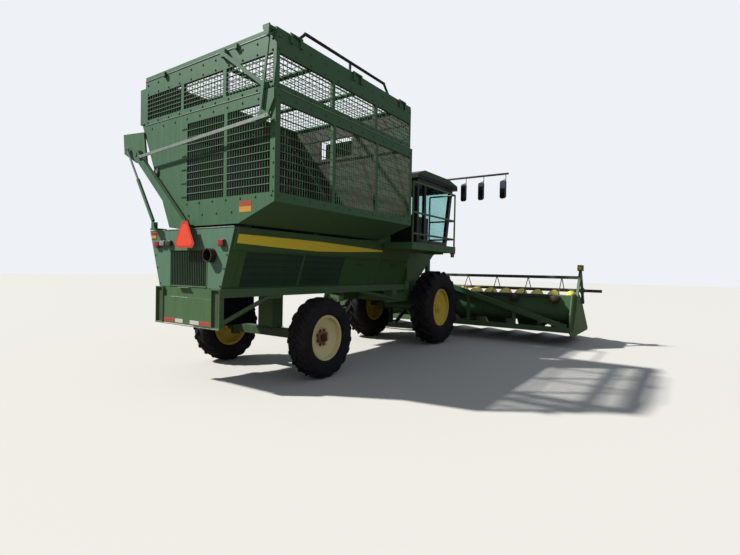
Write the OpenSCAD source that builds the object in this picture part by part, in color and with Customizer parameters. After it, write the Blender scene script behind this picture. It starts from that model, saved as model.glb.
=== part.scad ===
// Cotton harvester: self-propelled stripper with an eight-row header, a cab over
// the drive wheels and a mesh basket that tips over its left side.
// X points forward, Y to the machine's left, Z up. The modules are drawn from the
// front axle's centre line on the ground, and at_axle() shifts them to the origin.

/* [Overall] */
// From the front axle back to the bumper posts
rear_reach = 5540; // [5400:10:5700]
// From the front axle forward to the tips of the row points
front_reach = 3600; // [3400:10:3900]
// From the front axle to the rear axle
wheelbase = 4030; // [3800:10:4200]

/* [Wheels] */
// Front tyre's outer diameter
front_tyre_d = 1580; // [1500:10:1660]
// Front tyre's width
front_tyre_w = 470; // [420:10:490]
// Front rim's flange diameter
front_rim_d = 800; // [740:10:860]
// Front wheel's centre, out from the middle
front_wheel_y = 860; // [850:5:920]
// Rear tyre's outer diameter
rear_tyre_d = 1166; // [1100:2:1180]
// Rear tyre's width
rear_tyre_w = 330; // [290:10:350]
// Rear rim's flange diameter
rear_rim_d = 655; // [600:5:700]
// Rear wheel's centre, out from the middle
rear_wheel_y = 1060; // [1040:5:1120]
// Steering pin, out from the middle
kingpin_y = 800; // [760:5:820]
// Lugs on each side of a front tyre
front_lugs = 20; // [16:1:24]
// Lugs on each side of a rear tyre
rear_lugs = 20; // [16:1:24]

/* [Hood] */
// Underside of the hood and top of the side rails
hood_z0 = 1300; // [1250:5:1350]
// Top of the hood deck
hood_z1 = 2075; // [2000:5:2090]
// Half-width of the hood at its underside
hood_half_low = 670; // [650:5:700]
// Half-width of the hood at its deck
hood_half_top = 925; // [880:5:940]
// Thickness of the hood's walls
hood_wall = 40; // [30:5:60]

/* [Basket] */
// Basket's rear face, back from the front axle
basket_rear = 5500; // [5400:10:5510]
// Basket's front face, back from the front axle
basket_front = 2400; // [2390:10:2700]
// Right wall, out from the middle
basket_right = 1590; // [1500:10:1650]
// Left wall above the seam, out from the middle
basket_left = 1150; // [1100:10:1160]
// Underside of the basket
basket_z0 = 2105; // [2100:5:2150]
// Foot of the upright right wall
basket_chine_z = 2330; // [2250:10:2350]
// Seam between the lower and the upper section
basket_seam_z = 3600; // [3590:10:3650]
// Top of the upper section
basket_top_z = 4260; // [4200:10:4400]
// Thickness of the basket's walls
basket_wall = 40; // [30:5:60]
// Step from the lower section in to the upper one
basket_ledge = 25; // [10:5:40]

/* [Cab] */
// Half the cab's width
cab_half = 850; // [800:10:880]
// Underside of the cab
cab_z0 = 2085; // [2080:5:2100]
// Top of the cab's pillars
cab_z1 = 3480; // [3400:10:3600]
// Height of the roof above the pillars
cab_roof_h = 190; // [150:10:240]

/* [Header] */
// Distance between neighbouring rows
row_pitch = 762; // [762:1:762]
// Number of rows
row_count = 8; // [8:1:8]
// Width of the open slot over a row
row_slot = 110; // [100:5:130]
// Lift pivot, forward of the front axle
lift_pivot_x = 350; // [330:5:370]
// Lift pivot's height
lift_pivot_z = 1000; // [980:5:1020]
// Half the length of the front pipe
pipe_half = 3850; // [3700:10:4000]

/* [Hidden] */
$fn = 32;
green = "#1f6b35";
yellow = "#f2cf3a";
black = "#1c1c1c";
steel = "#9a9c9e";
eps = 0.5;
// How far the dump gear's pins stand out behind the basket
gear_reach = 115;
axle_x = (basket_rear + gear_reach - front_reach) / 2;
front_axle_z = front_tyre_d / 2;
rear_axle_z = rear_tyre_d / 2;

// Helpers

module at_axle() translate([axle_x, 0, 0]) children();

module both_sides() {
    children();
    mirror([0, 1, 0]) children();
}

// A box from its low and high limits
module block(x, y, z) translate([x[0], y[0], z[0]]) cube([x[1] - x[0], y[1] - y[0], z[1] - z[0]]);

// A round bar between two points
module bar(p, q, d) {
    v = q - p;
    translate(p)
        rotate([0, acos(v[2] / norm(v)), atan2(v[1], v[0])])
            cylinder(d = d, h = norm(v));
}

// A square bar between two points of a plane at one X, its sides upright in X
module cross_bar(p, q, x, w) {
    v = q - p;
    translate([x[0], p[0], p[1]])
        rotate([atan2(v[1], v[0]), 0, 0])
            translate([0, 0, -w / 2]) cube([x[1] - x[0], norm(v), w]);
}

// An outline in Y and Z, given its X limits
module plate_yz(points, x) translate([x[0], 0, 0]) rotate([90, 0, 90])
    linear_extrude(x[1] - x[0]) polygon(points);

// An outline in X and Z, given its Y limits
module plate_xz(points, y) translate([0, y[1], 0]) rotate([90, 0, 0])
    linear_extrude(y[1] - y[0]) polygon(points);

// A flat grille in its own plane: a sheet with square-cut cells
module grille(w, h, nx, ny, wire, t) linear_extrude(t) difference() {
    square([w, h]);
    cell = [(w - wire) / nx, (h - wire) / ny];
    for (i = [0 : nx - 1], j = [0 : ny - 1])
        translate([wire + i * cell[0], wire + j * cell[1]]) square(cell - [wire, wire]);
}

// Main frame

rail_y = [635, 700];
rail_z = [1190, hood_z0];
rail_front = 900;
inner_y = [500, 570];
inner_z = [940, 1150];
inner_front = 450;
gusset_y = 721;
rail_mid = (rail_y[0] + rail_y[1]) / 2;
bumper_z0 = 800;
bumper_fold_z = 1165;
post_y = [530, 700];
cross_members = [40 - rear_reach, -3100, -1350];

module main_frame() color(green) at_axle() {
    both_sides() {
        // Side rail, channel post of the bumper and its diagonal
        block([-rear_reach + 60, -rail_front], rail_y, rail_z);
        difference() {
            block([-rear_reach, -rear_reach + 70], post_y, [bumper_z0, hood_z0 - 5]);
            block([-rear_reach - 1, -rear_reach + 30], post_y + [12, -12],
                [bumper_z0 + 12, hood_z0 - 17]);
        }
        bar([-rear_reach + 40, rail_mid, bumper_z0 + 60], [-4700, rail_mid, 1175], 60);
        block([-4720, -4480], rail_y + [5, -5], [1150, rail_z[0]]);
        // Front brace down to the inner rail
        bar([-2570, rail_mid, 1205], [-950, 545, 960], 60);
        // Inner rail past the front axle to the lift pivot
        block([-1500, inner_front], inner_y, inner_z);
        // Post and gusset that carry the platform
        block([-1050, -rail_front], [620, gusset_y], [rail_z[0], platform_z[0]]);
        plate_xz([[-1070, platform_z[0]], [120, platform_z[0]], [-620, 1380], [-1050, 1380]],
            [gusset_y - 1, gusset_y + 39]);
        // Outrigger between the rails
        block([-1500, -1350], [inner_y[0], rail_y[1]], [1100, rail_z[1]]);
        // Bracket under the inner rail for a lift cylinder
        plate_xz([[300, inner_z[0]], [450, inner_z[0]], [500, 300], [400, 300]],
            [inner_y[0], inner_y[0] + 50]);
        bar([lift_base[0], lift_y - 30, lift_base[1]],
            [lift_base[0], inner_y[0] + 5, lift_base[1]], 36);
        // Pin of the lift pivot
        bar([lift_pivot_x, 410, lift_pivot_z], [lift_pivot_x, inner_y[1] + 10, lift_pivot_z], 60);
    }
    // Bumper panel, folded out below, with a beam behind its upper and lower edge
    block([-rear_reach + 35, -rear_reach + 50], [-post_y[0] - 5, post_y[0] + 5],
        [bumper_z0, hood_z0 - 5]);
    block([-rear_reach + 15, -rear_reach + 36], [-post_y[0] - 5, post_y[0] + 5],
        [bumper_z0 + 5, bumper_fold_z]);
    for (z = [bumper_z0 + 3, hood_z0 - 70])
        block([-rear_reach + 36, -rear_reach + 66], [-post_y[0] - 5, post_y[0] + 5], [z, z + 60]);
    for (x = cross_members)
        block([x, x + 120], [-rail_y[0], rail_y[0]], [1200, 1290]);
    // Pivot bracket over the rear axle
    block([-wheelbase - 110, -wheelbase + 110], [-160, 160], [rear_axle_z + 70, 1200]);
    block([-wheelbase - 150, -wheelbase + 150], [-rail_y[0], rail_y[0]], [1200, 1290]);
    // Cross-beam of the inner rails
    block([-1000, -880], [-inner_y[0], inner_y[0]], [inner_z[0], 1080]);
}

// Axles

spindle_d = 110;
hub_fit = 0.08;
knuckle_pin_d = 50;
boss_h = 160;

module axles() color(green) at_axle() {
    // Drive axle: beam, final drives and stub shafts
    translate([0, 0, front_axle_z]) {
        rotate([90, 0, 0]) cylinder(d = 200, h = 2 * front_wheel_y - 560, center = true);
        both_sides() {
            translate([0, 400, 0]) rotate([-90, 0, 0]) cylinder(d = 270, h = 170);
            translate([0, 570, 0]) rotate([-90, 0, 0])
                cylinder(d = spindle_d, h = front_wheel_y + front_disc_z + 5 - 570);
            block([-90, 90], [400, 560], [100, inner_z[0] - front_axle_z]);
        }
    }
    // Steering axle: beam with an upright boss at each end
    translate([-wheelbase, 0, rear_axle_z]) {
        block([-70, 70], [-kingpin_y + 50, kingpin_y - 50], [-65, 65]);
        block([-150, 150], [-140, 140], [60, 70]);
        both_sides() difference() {
            translate([0, kingpin_y, 0]) cylinder(d = 120, h = boss_h, center = true);
            translate([0, kingpin_y, 0])
                cylinder(d = knuckle_pin_d + 2 * hub_fit, h = boss_h + 2, center = true);
        }
    }
}

module knuckle() {
    gap = 3;
    lug_t = 32;
    // Fork above and below the axle's boss, joined outside it
    for (s = [-1, 1])
        translate([0, 0, s * (boss_h / 2 + gap + lug_t / 2)])
            cylinder(d = 110, h = lug_t, center = true);
    for (s = [-1, 1])
        translate([-45, 0, s * (boss_h / 2 + gap + lug_t / 2) - lug_t / 2])
            cube([90, 95, lug_t]);
    translate([-45, 65, -boss_h / 2 - gap]) cube([90, 30, boss_h + 2 * gap]);
    cylinder(d = knuckle_pin_d, h = boss_h + 2 * gap + 2, center = true);
    // Stub shaft for the wheel
    translate([0, 95, 0]) rotate([-90, 0, 0])
        cylinder(d = spindle_d, h = rear_wheel_y + rear_disc_z + 5 - kingpin_y - 95);
}

module left_knuckle() color(green) at_axle()
    translate([-wheelbase, kingpin_y, rear_axle_z]) knuckle();

module right_knuckle() color(green) at_axle()
    translate([-wheelbase, -kingpin_y, rear_axle_z]) mirror([0, 1, 0]) knuckle();

// Wheels: drawn about their own axis along Z, outer face at +Z

// Rim flange: its thickness and its play in the tyre
flange_t = 12;
flange_fit = 0.4;

// Carcass of a tyre: outer diameter, width, rim diameter, lug height
module tyre(d, w, rim_d, lug_h, lugs, lug_w) {
    r = d / 2;
    crown = r - lug_h;
    bead = rim_d / 2 - 22;
    rotate_extrude($fn = 72) polygon([
        [bead, -0.30 * w], [rim_d / 2 + flange_fit, -0.30 * w],
        [rim_d / 2 + flange_fit, -0.30 * w - flange_t], [bead + 0.4 * (crown - bead), -0.48 * w],
        [crown - 0.20 * (crown - bead), -0.47 * w], [crown, -0.36 * w],
        [crown, 0.36 * w], [crown - 0.20 * (crown - bead), 0.47 * w],
        [bead + 0.4 * (crown - bead), 0.48 * w], [rim_d / 2 + flange_fit, 0.30 * w + flange_t],
        [rim_d / 2 + flange_fit, 0.30 * w], [bead, 0.30 * w]]);
    // Two rows of slanted lugs, half a pitch apart, whose corners reach the diameter
    skew = 0.26 * w;
    reach = lug_w / 2 + skew;
    lug_r = sqrt(r * r - reach * reach);
    root = 2.1 * lug_h;
    for (side = [0, 1], i = [0 : lugs - 1])
        mirror([0, 0, side])
            rotate([0, 0, (i + side / 2) * 360 / lugs])
                translate([lug_r - root, 0, 0]) rotate([0, 90, 0])
                    linear_extrude(root) polygon([
                        [18, -skew - lug_w / 2], [18, -skew + lug_w / 2],
                        [-0.49 * w, skew + lug_w / 2], [-0.49 * w, skew - lug_w / 2]]);
}

// Rim: flanges, well, inset disc with its hub; disc_z is the disc's place
module rim(d, w, disc_z, hub_d, hub_h) {
    r = d / 2;
    seat = r - 22.3;
    half = 0.30 * w;
    rotate_extrude($fn = 72) polygon([
        [seat - 12, -half - flange_t], [r, -half - flange_t], [r, -half - 0.3], [seat, -half - 0.3],
        [seat, half + 0.3], [r, half + 0.3], [r, half + flange_t], [seat - 12, half + flange_t]]);
    difference() {
        rotate_extrude($fn = 72) polygon([
            [0, disc_z - 12], [0.42 * r, disc_z - 12], [0.72 * r, disc_z + 18],
            [seat - 6, disc_z + 18], [seat - 6, disc_z + 34], [0.70 * r, disc_z + 34],
            [0.40 * r, disc_z + 4], [0, disc_z + 4]]);
        translate([0, 0, disc_z - 20]) cylinder(d = spindle_d + 2 * hub_fit, h = 40);
    }
    // Hub around the stub shaft
    difference() {
        translate([0, 0, disc_z - hub_h]) cylinder(d = hub_d, h = hub_h + 26);
        translate([0, 0, disc_z - hub_h - 1])
            cylinder(d = spindle_d + 2 * hub_fit, h = hub_h + 10);
    }
}

front_disc_z = 70;
rear_disc_z = 10;

module at_front_wheel(side) at_axle() translate([0, side * front_wheel_y, front_axle_z])
    rotate([-side * 90, 0, 0]) children();

module at_rear_wheel(side) at_axle()
    translate([-wheelbase, side * rear_wheel_y, rear_axle_z])
        rotate([-side * 90, 0, 0]) children();

module front_tyre() color(black) tyre(front_tyre_d, front_tyre_w, front_rim_d, 36, front_lugs, 58);
module rear_tyre() color(black) tyre(rear_tyre_d, rear_tyre_w, rear_rim_d, 24, rear_lugs, 44);
module front_rim() color(yellow) rim(front_rim_d, front_tyre_w, front_disc_z, 240, 120);
module rear_rim() color(yellow) rim(rear_rim_d, rear_tyre_w, rear_disc_z, 190, 90);

// With an upright pair of lug corners under the axle, the tyre stands at Z = 0
module lug_down(w, lug_w, d) {
    reach = lug_w / 2 + 0.26 * w;
    rotate([0, 0, -asin(reach / (d / 2))]) children();
}

module front_left_tyre() at_front_wheel(1) rotate([0, 0, 90])
    lug_down(front_tyre_w, 58, front_tyre_d) front_tyre();
module front_right_tyre() at_front_wheel(-1) rotate([0, 0, -90])
    lug_down(front_tyre_w, 58, front_tyre_d) front_tyre();
module rear_left_tyre() at_rear_wheel(1) rotate([0, 0, 90])
    lug_down(rear_tyre_w, 44, rear_tyre_d) rear_tyre();
module rear_right_tyre() at_rear_wheel(-1) rotate([0, 0, -90])
    lug_down(rear_tyre_w, 44, rear_tyre_d) rear_tyre();
module front_left_rim() at_front_wheel(1) front_rim();
module front_right_rim() at_front_wheel(-1) front_rim();
module rear_left_rim() at_rear_wheel(1) rear_rim();
module rear_right_rim() at_rear_wheel(-1) rear_rim();

// Hood

hood_rear = rear_reach - 40;
hood_front = 1130;
band_z0 = 1790;
band_t = 30;
screen_z = [1320, 1770];
door_z = [1320, 1760];
door_t = 30;
door_gap = 6;
// Openings in the hood's side: rear and front limits in X
screen_x = [[-5230, -4170], [-4130, -3180]];
service_door_x = [[-3140, -2330], [-2130, -1190]];
hood_slope = atan2(hood_half_top - hood_half_low, hood_z1 - hood_z0);
radiator_y = [-385, 400];
radiator_z = [1320, 1785];
pipe_y = -495;
pipe_z = 1720;
pipe_d = 180;
pipe_out = 80;

function hood_half(z) = hood_half_low
    + (hood_half_top - hood_half_low) * (z - hood_z0) / (hood_z1 - hood_z0);

// Places children with X along the hood's left side, Y up the slope and Z outward
module on_hood_side() translate([0, hood_half_low, hood_z0]) rotate([90 - hood_slope, 0, 0])
    mirror([0, 0, 1]) children();

function up_slope(z) = (z - hood_z0) / cos(hood_slope);

module hood_opening(x, z) on_hood_side()
    translate([x[0], up_slope(z[0]), -3 * hood_wall])
        cube([x[1] - x[0], up_slope(z[1]) - up_slope(z[0]), 6 * hood_wall]);

module hood() color(green) at_axle() difference() {
    union() {
        plate_yz([[-hood_half_low, hood_z0], [hood_half_low, hood_z0],
            [hood_half_top, hood_z1], [-hood_half_top, hood_z1]], [-hood_rear, -hood_front]);
        // Outer band with the stripe's place
        both_sides() plate_yz([[hood_half(band_z0) - 5, band_z0],
            [hood_half(band_z0) + band_t, band_z0], [hood_half_top + band_t, hood_z1 - 8],
            [hood_half_top - 5, hood_z1 - 8]], [-hood_rear + 40, -1960]);
    }
    plate_yz([[-hood_half_low + hood_wall, hood_z0 - eps],
        [hood_half_low - hood_wall, hood_z0 - eps],
        [hood_half(hood_z1 - hood_wall) - hood_wall, hood_z1 - hood_wall],
        [-hood_half(hood_z1 - hood_wall) + hood_wall, hood_z1 - hood_wall]],
        [-hood_rear + hood_wall, -hood_front + eps]);
    for (x = screen_x) both_sides() hood_opening(x, screen_z);
    for (x = service_door_x) both_sides() hood_opening(x, door_z);
    // Radiator opening and pipe hole in the rear panel
    block([-hood_rear - eps, -hood_rear + hood_wall + eps], radiator_y, radiator_z);
    translate([-hood_rear - 1, pipe_y, pipe_z]) rotate([0, 90, 0]) cylinder(d = pipe_d, h = 60);
    // Deck cut-out round the duct
    block([duct_x[0] - 30, 0], [-duct_half - 30, duct_half + 30], [hood_z1 - 60, hood_z1 + eps]);
}

// A screen in a side opening: a flat sheet on a frame
module side_screen(x, z) on_hood_side() translate([x[0], up_slope(z[0]), -hood_wall + 8])
    cube([x[1] - x[0], up_slope(z[1]) - up_slope(z[0]), hood_wall - 20]);

module screens() color("#1d4a2a") at_axle() {
    for (x = screen_x) both_sides() side_screen(x, screen_z);
    block([-hood_rear + 15, -hood_rear + 35], radiator_y, radiator_z);
}

// A service door: panel with a folded edge and a recessed handle
module service_door(x) color(green) on_hood_side()
    translate([x[0] + door_gap, up_slope(door_z[0]) + door_gap, -door_t]) {
        w = x[1] - x[0] - 2 * door_gap;
        h = up_slope(door_z[1]) - up_slope(door_z[0]) - 2 * door_gap;
        difference() {
            cube([w, h, door_t]);
            translate([20, 20, -eps]) cube([w - 40, h - 40, door_t - 8]);
        }
        translate([w / 2 - 60, h - 90, door_t - eps]) cube([120, 40, 12]);
        // Hinge leaves along the lower edge
        for (k = [0.12, 0.88]) translate([k * w - 40, -door_gap + 0.3, door_t - 6])
            cube([80, door_gap + 1, 6]);
    }

module service_door_left_rear() at_axle() service_door(service_door_x[0]);
module service_door_left_front() at_axle() service_door(service_door_x[1]);
module service_door_right_rear() at_axle() mirror([0, 1, 0]) service_door(service_door_x[0]);
module service_door_right_front() at_axle() mirror([0, 1, 0]) service_door(service_door_x[1]);

// Engine, gearbox and tank as plain blocks, and the pipe through the rear panel

engine_back = 400;
engine_len = 1200;
tank_len = 550;

module engine() color("#3b3f3c") at_axle() {
    block([engine_back - hood_rear, engine_back + engine_len - hood_rear], [-380, 380],
        [1290, 1980]);
    block([-3300, -2300], [-480, 480], [1290, 1900]);
    translate([-hood_rear - pipe_out, pipe_y, pipe_z]) rotate([0, 90, 0]) difference() {
        cylinder(d = pipe_d - 1, h = pipe_out + 380);
        translate([0, 0, -1]) cylinder(d = pipe_d - 30, h = pipe_out + 360);
    }
    block([engine_back - 40 - hood_rear, engine_back + 50 - hood_rear], [pipe_y - 60, -300],
        [pipe_z - 60, pipe_z + 60]);
    // Fuel tank hung under the hood, behind the steering axle
    block([-rear_reach + 90, -rear_reach + 90 + tank_len], [-600, 600], [830, 1199.7]);
}

// Lamps, reflectors and the slow-vehicle emblem on the rear

// The slow-vehicle emblem stands clear of the tower's foot
emblem_out = 95;

module rear_lamps() color("#d8402a") at_axle() {
    x = -hood_rear;
    plate_yz([[-205, 1815], [205, 1815], [222, 1850], [30, 2165], [-30, 2165], [-222, 1850]],
        [x - emblem_out - 8, x - emblem_out]);
    block([x - emblem_out - 1, x], [-60, 60], [1840, 1880]);
    both_sides() block([x - 38, x], [650, 750], [1835, 1915]);
    block([x - 6, x], [755, 875], [1965, 2045]);
    block([x - 34, x], [480, 620], [1850, 1925]);
}

// Platforms beside the cab

platform_z = [1945, 2070];
platform_x = [-2260, -490];
platform_out = 1550;
platform_gap = 35;
platform_in = hood_half_top + platform_gap;
left_platform_front = 250;

module platforms() color(green) at_axle() {
    difference() {
        block(platform_x, [-platform_out, -platform_in], platform_z);
        block([platform_x[0] + 40, platform_x[1] - 40],
            [-platform_out + 40, -platform_in - 40], [platform_z[0] - 1, platform_z[1] - 12]);
    }
    difference() {
        block([platform_x[0], left_platform_front], [platform_in, platform_out], platform_z);
        block([platform_x[0] + 40, left_platform_front - 40],
            [platform_in + 40, platform_out - 40], [platform_z[0] - 1, platform_z[1] - 12]);
    }
    // Cab cradle: two cross-beams under the cab, out to the platforms
    for (x = [-820, 60])
        block([x, x + 120], [-platform_in - 1, platform_in + 1], platform_z);
    both_sides() block([-820, 600], [430, 520], platform_z);
    both_sides() block([-820, -700], [500, 570], [inner_z[1], platform_z[0]]);
    // Rubber mounts under the cab
    both_sides() for (m = [[-760, 700], [120, 475]])
        translate([m[0], m[1], platform_z[1]]) cylinder(d = 100, h = cab_z0 - 0.3 - platform_z[1]);
    both_sides() block([200, 320], [500, 570], [inner_z[1], platform_z[0]]);
}

// Handrails and the ladder

rail_d = 34;
rail_heights = [2220, 2590, 3110];

module handrails() color(green) at_axle() {
    y = -platform_out + 25;
    x0 = platform_x[0] + 40;
    x1 = platform_x[1] - 20;
    for (p = [[x0, y], [x1, y], [x1, -960]])
        bar([p[0], p[1], platform_z[1]], [p[0], p[1], rail_heights[2]], rail_d);
    for (z = rail_heights) {
        bar([x0, y, z], [x1, y, z], rail_d);
        bar([x1, y, z], [x1, -960, z], rail_d);
    }
    // Left side: rails behind the door's swing
    yl = platform_out - 25;
    for (p = [[x0, yl], [-1150, yl]])
        bar([p[0], p[1], platform_z[1]], [p[0], p[1], rail_heights[2]], rail_d);
    for (z = rail_heights) bar([x0, yl, z], [-1150, yl, z], rail_d);
    // Ladder outside the left front tyre
    for (x = [-330, 130]) {
        block([x - 18, x + 18], [platform_out, platform_out + 50], [560, platform_z[1] - 20]);
        block([x - 18, x + 18], [platform_out, platform_out + 50], [2050, 2060]);
    }
    for (z = [600 : 300 : 1850])
        block([-330, 130], [platform_out, platform_out + 50], [z, z + 30]);
}

// Cab

cab_rear = -850;
cab_front_low = 560;
cab_front_top = 850;
cab_wall = 60;
floor_t = 70;
cab_window_z = [2230, 3400];
door_x = [-460, 520];

function cab_front_x(z) = cab_front_low
    + (cab_front_top - cab_front_low) * (z - cab_z0) / (cab_z1 - cab_z0);

// A window outline in the cab's side, from its rear limit to a margin from the front
function side_window(x0, front_margin, z) = [[x0, z[0]], [x0, z[1]],
    [cab_front_x(z[1]) - front_margin, z[1]], [cab_front_x(z[0]) - front_margin, z[0]]];

module cab_frame() color(black) at_axle() difference() {
    plate_xz([[cab_rear, cab_z0], [cab_rear, cab_z1], [cab_front_top, cab_z1],
        [cab_front_low, cab_z0]], [-cab_half, cab_half]);
    plate_xz([[cab_rear + cab_wall, cab_z0 + floor_t], [cab_rear + cab_wall, cab_z1 + 1],
        [cab_front_x(cab_z1) - cab_wall, cab_z1 + 1],
        [cab_front_x(cab_z0 + floor_t) - cab_wall, cab_z0 + floor_t]],
        [-cab_half + cab_wall, cab_half - cab_wall]);
    // Windscreen
    plate_xz([[cab_front_x(cab_window_z[0]) - 100, cab_window_z[0]],
        [cab_front_x(cab_window_z[1]) - 100, cab_window_z[1]],
        [cab_front_x(cab_window_z[1]) + 100, cab_window_z[1]],
        [cab_front_x(cab_window_z[0]) + 100, cab_window_z[0]]],
        [-cab_half + 90, cab_half - 90]);
    // Rear window
    block([cab_rear - 1, cab_rear + cab_wall + 1], [-cab_half + 120, cab_half - 120],
        [2700, cab_window_z[1]]);
    // Right side: quarter light and wide window
    plate_xz([[-770, cab_window_z[0]], [-770, cab_window_z[1]], [-540, cab_window_z[1]],
        [-540, cab_window_z[0]]], [-cab_half - 1, -cab_half + cab_wall + 1]);
    plate_xz(side_window(-460, 110, cab_window_z), [-cab_half - 1, -cab_half + cab_wall + 1]);
    // Left side: quarter light and door opening
    plate_xz([[-770, cab_window_z[0]], [-770, cab_window_z[1]], [-540, cab_window_z[1]],
        [-540, cab_window_z[0]]], [cab_half - cab_wall - 1, cab_half + 1]);
    plate_xz(side_window(door_x[0], 80, [cab_z0 + floor_t, cab_window_z[1] + 20]),
        [cab_half - cab_wall - 1, cab_half + 1]);
}

// Top of the roof's front slope at one X
function roof_front_z(x) = cab_z1 + cab_roof_h
    - (cab_roof_h - 110) * (x - cab_front_top + 260) / 450;

module cab_roof() color("#2a4d33") at_axle() difference() {
    plate_xz([[cab_rear - 40, cab_z1 + 0.3], [cab_rear - 40, cab_z1 + 90],
        [cab_rear + 260, cab_z1 + cab_roof_h], [cab_front_top - 260, cab_z1 + cab_roof_h],
        [cab_front_top + 190, cab_z1 + 110], [cab_front_top + 200, cab_z1 + 0.3]],
        [-cab_half - 30, cab_half + 30]);
    block([cab_rear + 80, cab_front_top - 80], [-cab_half + 80, cab_half - 80],
        [cab_z1, cab_z1 + 60]);
}

glass_t = 8;

module cab_glass() color("#8fb3bd") at_axle() {
    // Panes sit in the middle of their walls
    mid = cab_wall / 2;
    plate_xz([[cab_front_x(cab_window_z[0]) - mid - glass_t, cab_window_z[0]],
        [cab_front_x(cab_window_z[1]) - mid - glass_t, cab_window_z[1]],
        [cab_front_x(cab_window_z[1]) - mid, cab_window_z[1]],
        [cab_front_x(cab_window_z[0]) - mid, cab_window_z[0]]],
        [-cab_half + 90, cab_half - 90]);
    block([cab_rear + mid, cab_rear + mid + glass_t], [-cab_half + 120, cab_half - 120],
        [2700, cab_window_z[1]]);
    for (y = [-cab_half + mid, cab_half - mid - glass_t])
        block([-770, -540], [y, y + glass_t], cab_window_z);
    plate_xz(side_window(-460, 110, cab_window_z),
        [-cab_half + mid, -cab_half + mid + glass_t]);
}

door_margin = 6;
door_frame = 70;
door_panel_z = [cab_z0 + floor_t + 6, cab_window_z[1] + 14];

function door_outline(m) = side_window(door_x[0] + m, 80 + m, [door_panel_z[0] + m - door_margin,
    door_panel_z[1] - m + door_margin]);

module cab_door() color(black) at_axle() {
    difference() {
        plate_xz(door_outline(door_margin), [cab_half - 45, cab_half]);
        plate_xz(door_outline(door_margin + door_frame), [cab_half - 46, cab_half + 1]);
    }
    // Outside handle and hinge leaves
    block([577, 597], [cab_half - 1, cab_half + 30], [2700, 2900]);
    for (z = [2500, 3200]) {
        translate([door_x[0] - 2, cab_half + 10.3, z]) cylinder(d = 20, h = 80);
        block([door_x[0] - 2, door_x[0] + 50], [cab_half + 2, cab_half + 10], [z, z + 80]);
        block([door_x[0] + 10, door_x[0] + 50], [cab_half - 1, cab_half + 10], [z, z + 80]);
    }
}

module cab_door_glass() color("#8fb3bd") at_axle()
    plate_xz(door_outline(door_margin + door_frame), [cab_half - 30, cab_half - 30 + glass_t]);

// Seat and controls

module seat() color("#4a4236") at_axle() {
    block([-330, 170], [-250, 250], [2560, 2680]);
    plate_xz([[-330, 2679], [-430, 3230], [-320, 3250], [-200, 2679]], [-240, 240]);
    translate([-80, 0, cab_z0 + floor_t + 0.3]) cylinder(d = 260, h = 2561 - cab_z0 - floor_t);
}

module cab_controls() color("#3a3a38") at_axle() {
    // Column with its wheel, and the right-hand console
    bar([416, 0, cab_z0 + floor_t + 30], [330, 0, 2830], 90);
    block([360, 470], [-60, 60], [cab_z0 + floor_t + 0.3, cab_z0 + floor_t + 45]);
    translate([325, 0, 2840]) rotate([0, -18, 0]) {
        difference() {
            cylinder(d = 400, h = 26);
            translate([0, 0, -1]) cylinder(d = 350, h = 28);
        }
        translate([-185, -20, 5]) cube([370, 40, 16]);
        translate([0, 0, -20]) cylinder(d = 76, h = 44);
    }
    block([-420, 200], [-560, -330], [cab_z0 + floor_t + 0.3, 2760]);
}

// Mirrors on a long bar along the cab's front, out to the right, and one on the left

mirror_x = 1000;
mirror_z = 3770;
mirror_half = 85;
mirror_y = [-1055, -1480, -1990];

module mirror_head(y) {
    bar([mirror_x, y, mirror_z - 20], [mirror_x, y, 3620], 18);
    block([mirror_x - 30, mirror_x + 15], [y - mirror_half, y + mirror_half], [3220, 3630]);
}

module mirrors() color(black) at_axle() {
    bar([mirror_x, -2110, mirror_z], [mirror_x, 1260, mirror_z], 46);
    for (y = mirror_y) mirror_head(y);
    mirror_head(1160);
    // Feet on the roof's front edge
    for (y = [-500, 500]) plate_xz([[mirror_x - 90, roof_front_z(mirror_x - 90) + 0.3],
        [mirror_x + 20, roof_front_z(mirror_x + 20) + 0.3], [mirror_x + 20, mirror_z],
        [mirror_x - 20, mirror_z]], [y - 30, y + 30]);
}

// Duct from the header's trough, under the cab and up behind it to the basket

duct_half = 330;
duct_low_half = 240;
duct_x = [-1500, -1020];
duct_top = 3950;
duct_mouth_x = 1290;
duct_mouth_z = [660, 1060];
duct_outlet_x = -2360;
duct_outlet_h = 290;
duct_wall = 14;
seam = 0.4;

// Lower run from its mouth behind the trough, drawn inside its walls by t
module duct_low(t, past) plate_xz([[duct_mouth_x + past, duct_mouth_z[0] + t],
    [duct_mouth_x + past, duct_mouth_z[1] - t], [350, 1480 - t], [duct_x[1] - past, 1880 - t],
    [duct_x[1] - past, 1450 + t], [300, 1010 + t]], [-duct_low_half + t, duct_low_half - t]);

// Upright run and the hood that turns it into the basket
module duct_up(t, past) plate_xz([[duct_x[0] + t, 1290 + t], [duct_x[1] - t, 1290 + t],
    [duct_x[1] - t, duct_top - 300], [duct_x[1] - 180, duct_top - t],
    [duct_outlet_x - past, duct_top - t], [duct_outlet_x - past, duct_top - duct_outlet_h + t],
    [duct_x[0] + t, duct_top - 560]], [-duct_half + t, duct_half - t]);

module duct() color(green) at_axle() difference() {
    union() {
        duct_low(0, 0);
        duct_up(0, 0);
    }
    duct_low(duct_wall, duct_wall + 6);
    duct_up(duct_wall, 1);
    // Seams between the sheets
    both_sides() {
        block([duct_outlet_x - 1, duct_x[1]],
            [duct_half - duct_wall - seam, duct_half - duct_wall + eps], [0, duct_top + 1]);
        block([duct_x[1] - eps, duct_mouth_x + 1],
            [duct_low_half - duct_wall - seam, duct_low_half - duct_wall + eps], [0, duct_top + 1]);
    }
    block([duct_x[1], duct_x[1] + seam], [-duct_low_half - 1, duct_low_half + 1], [0, duct_top - 400]);
}

// Towers that carry the basket's hinge, at the rear and at the front

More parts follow.
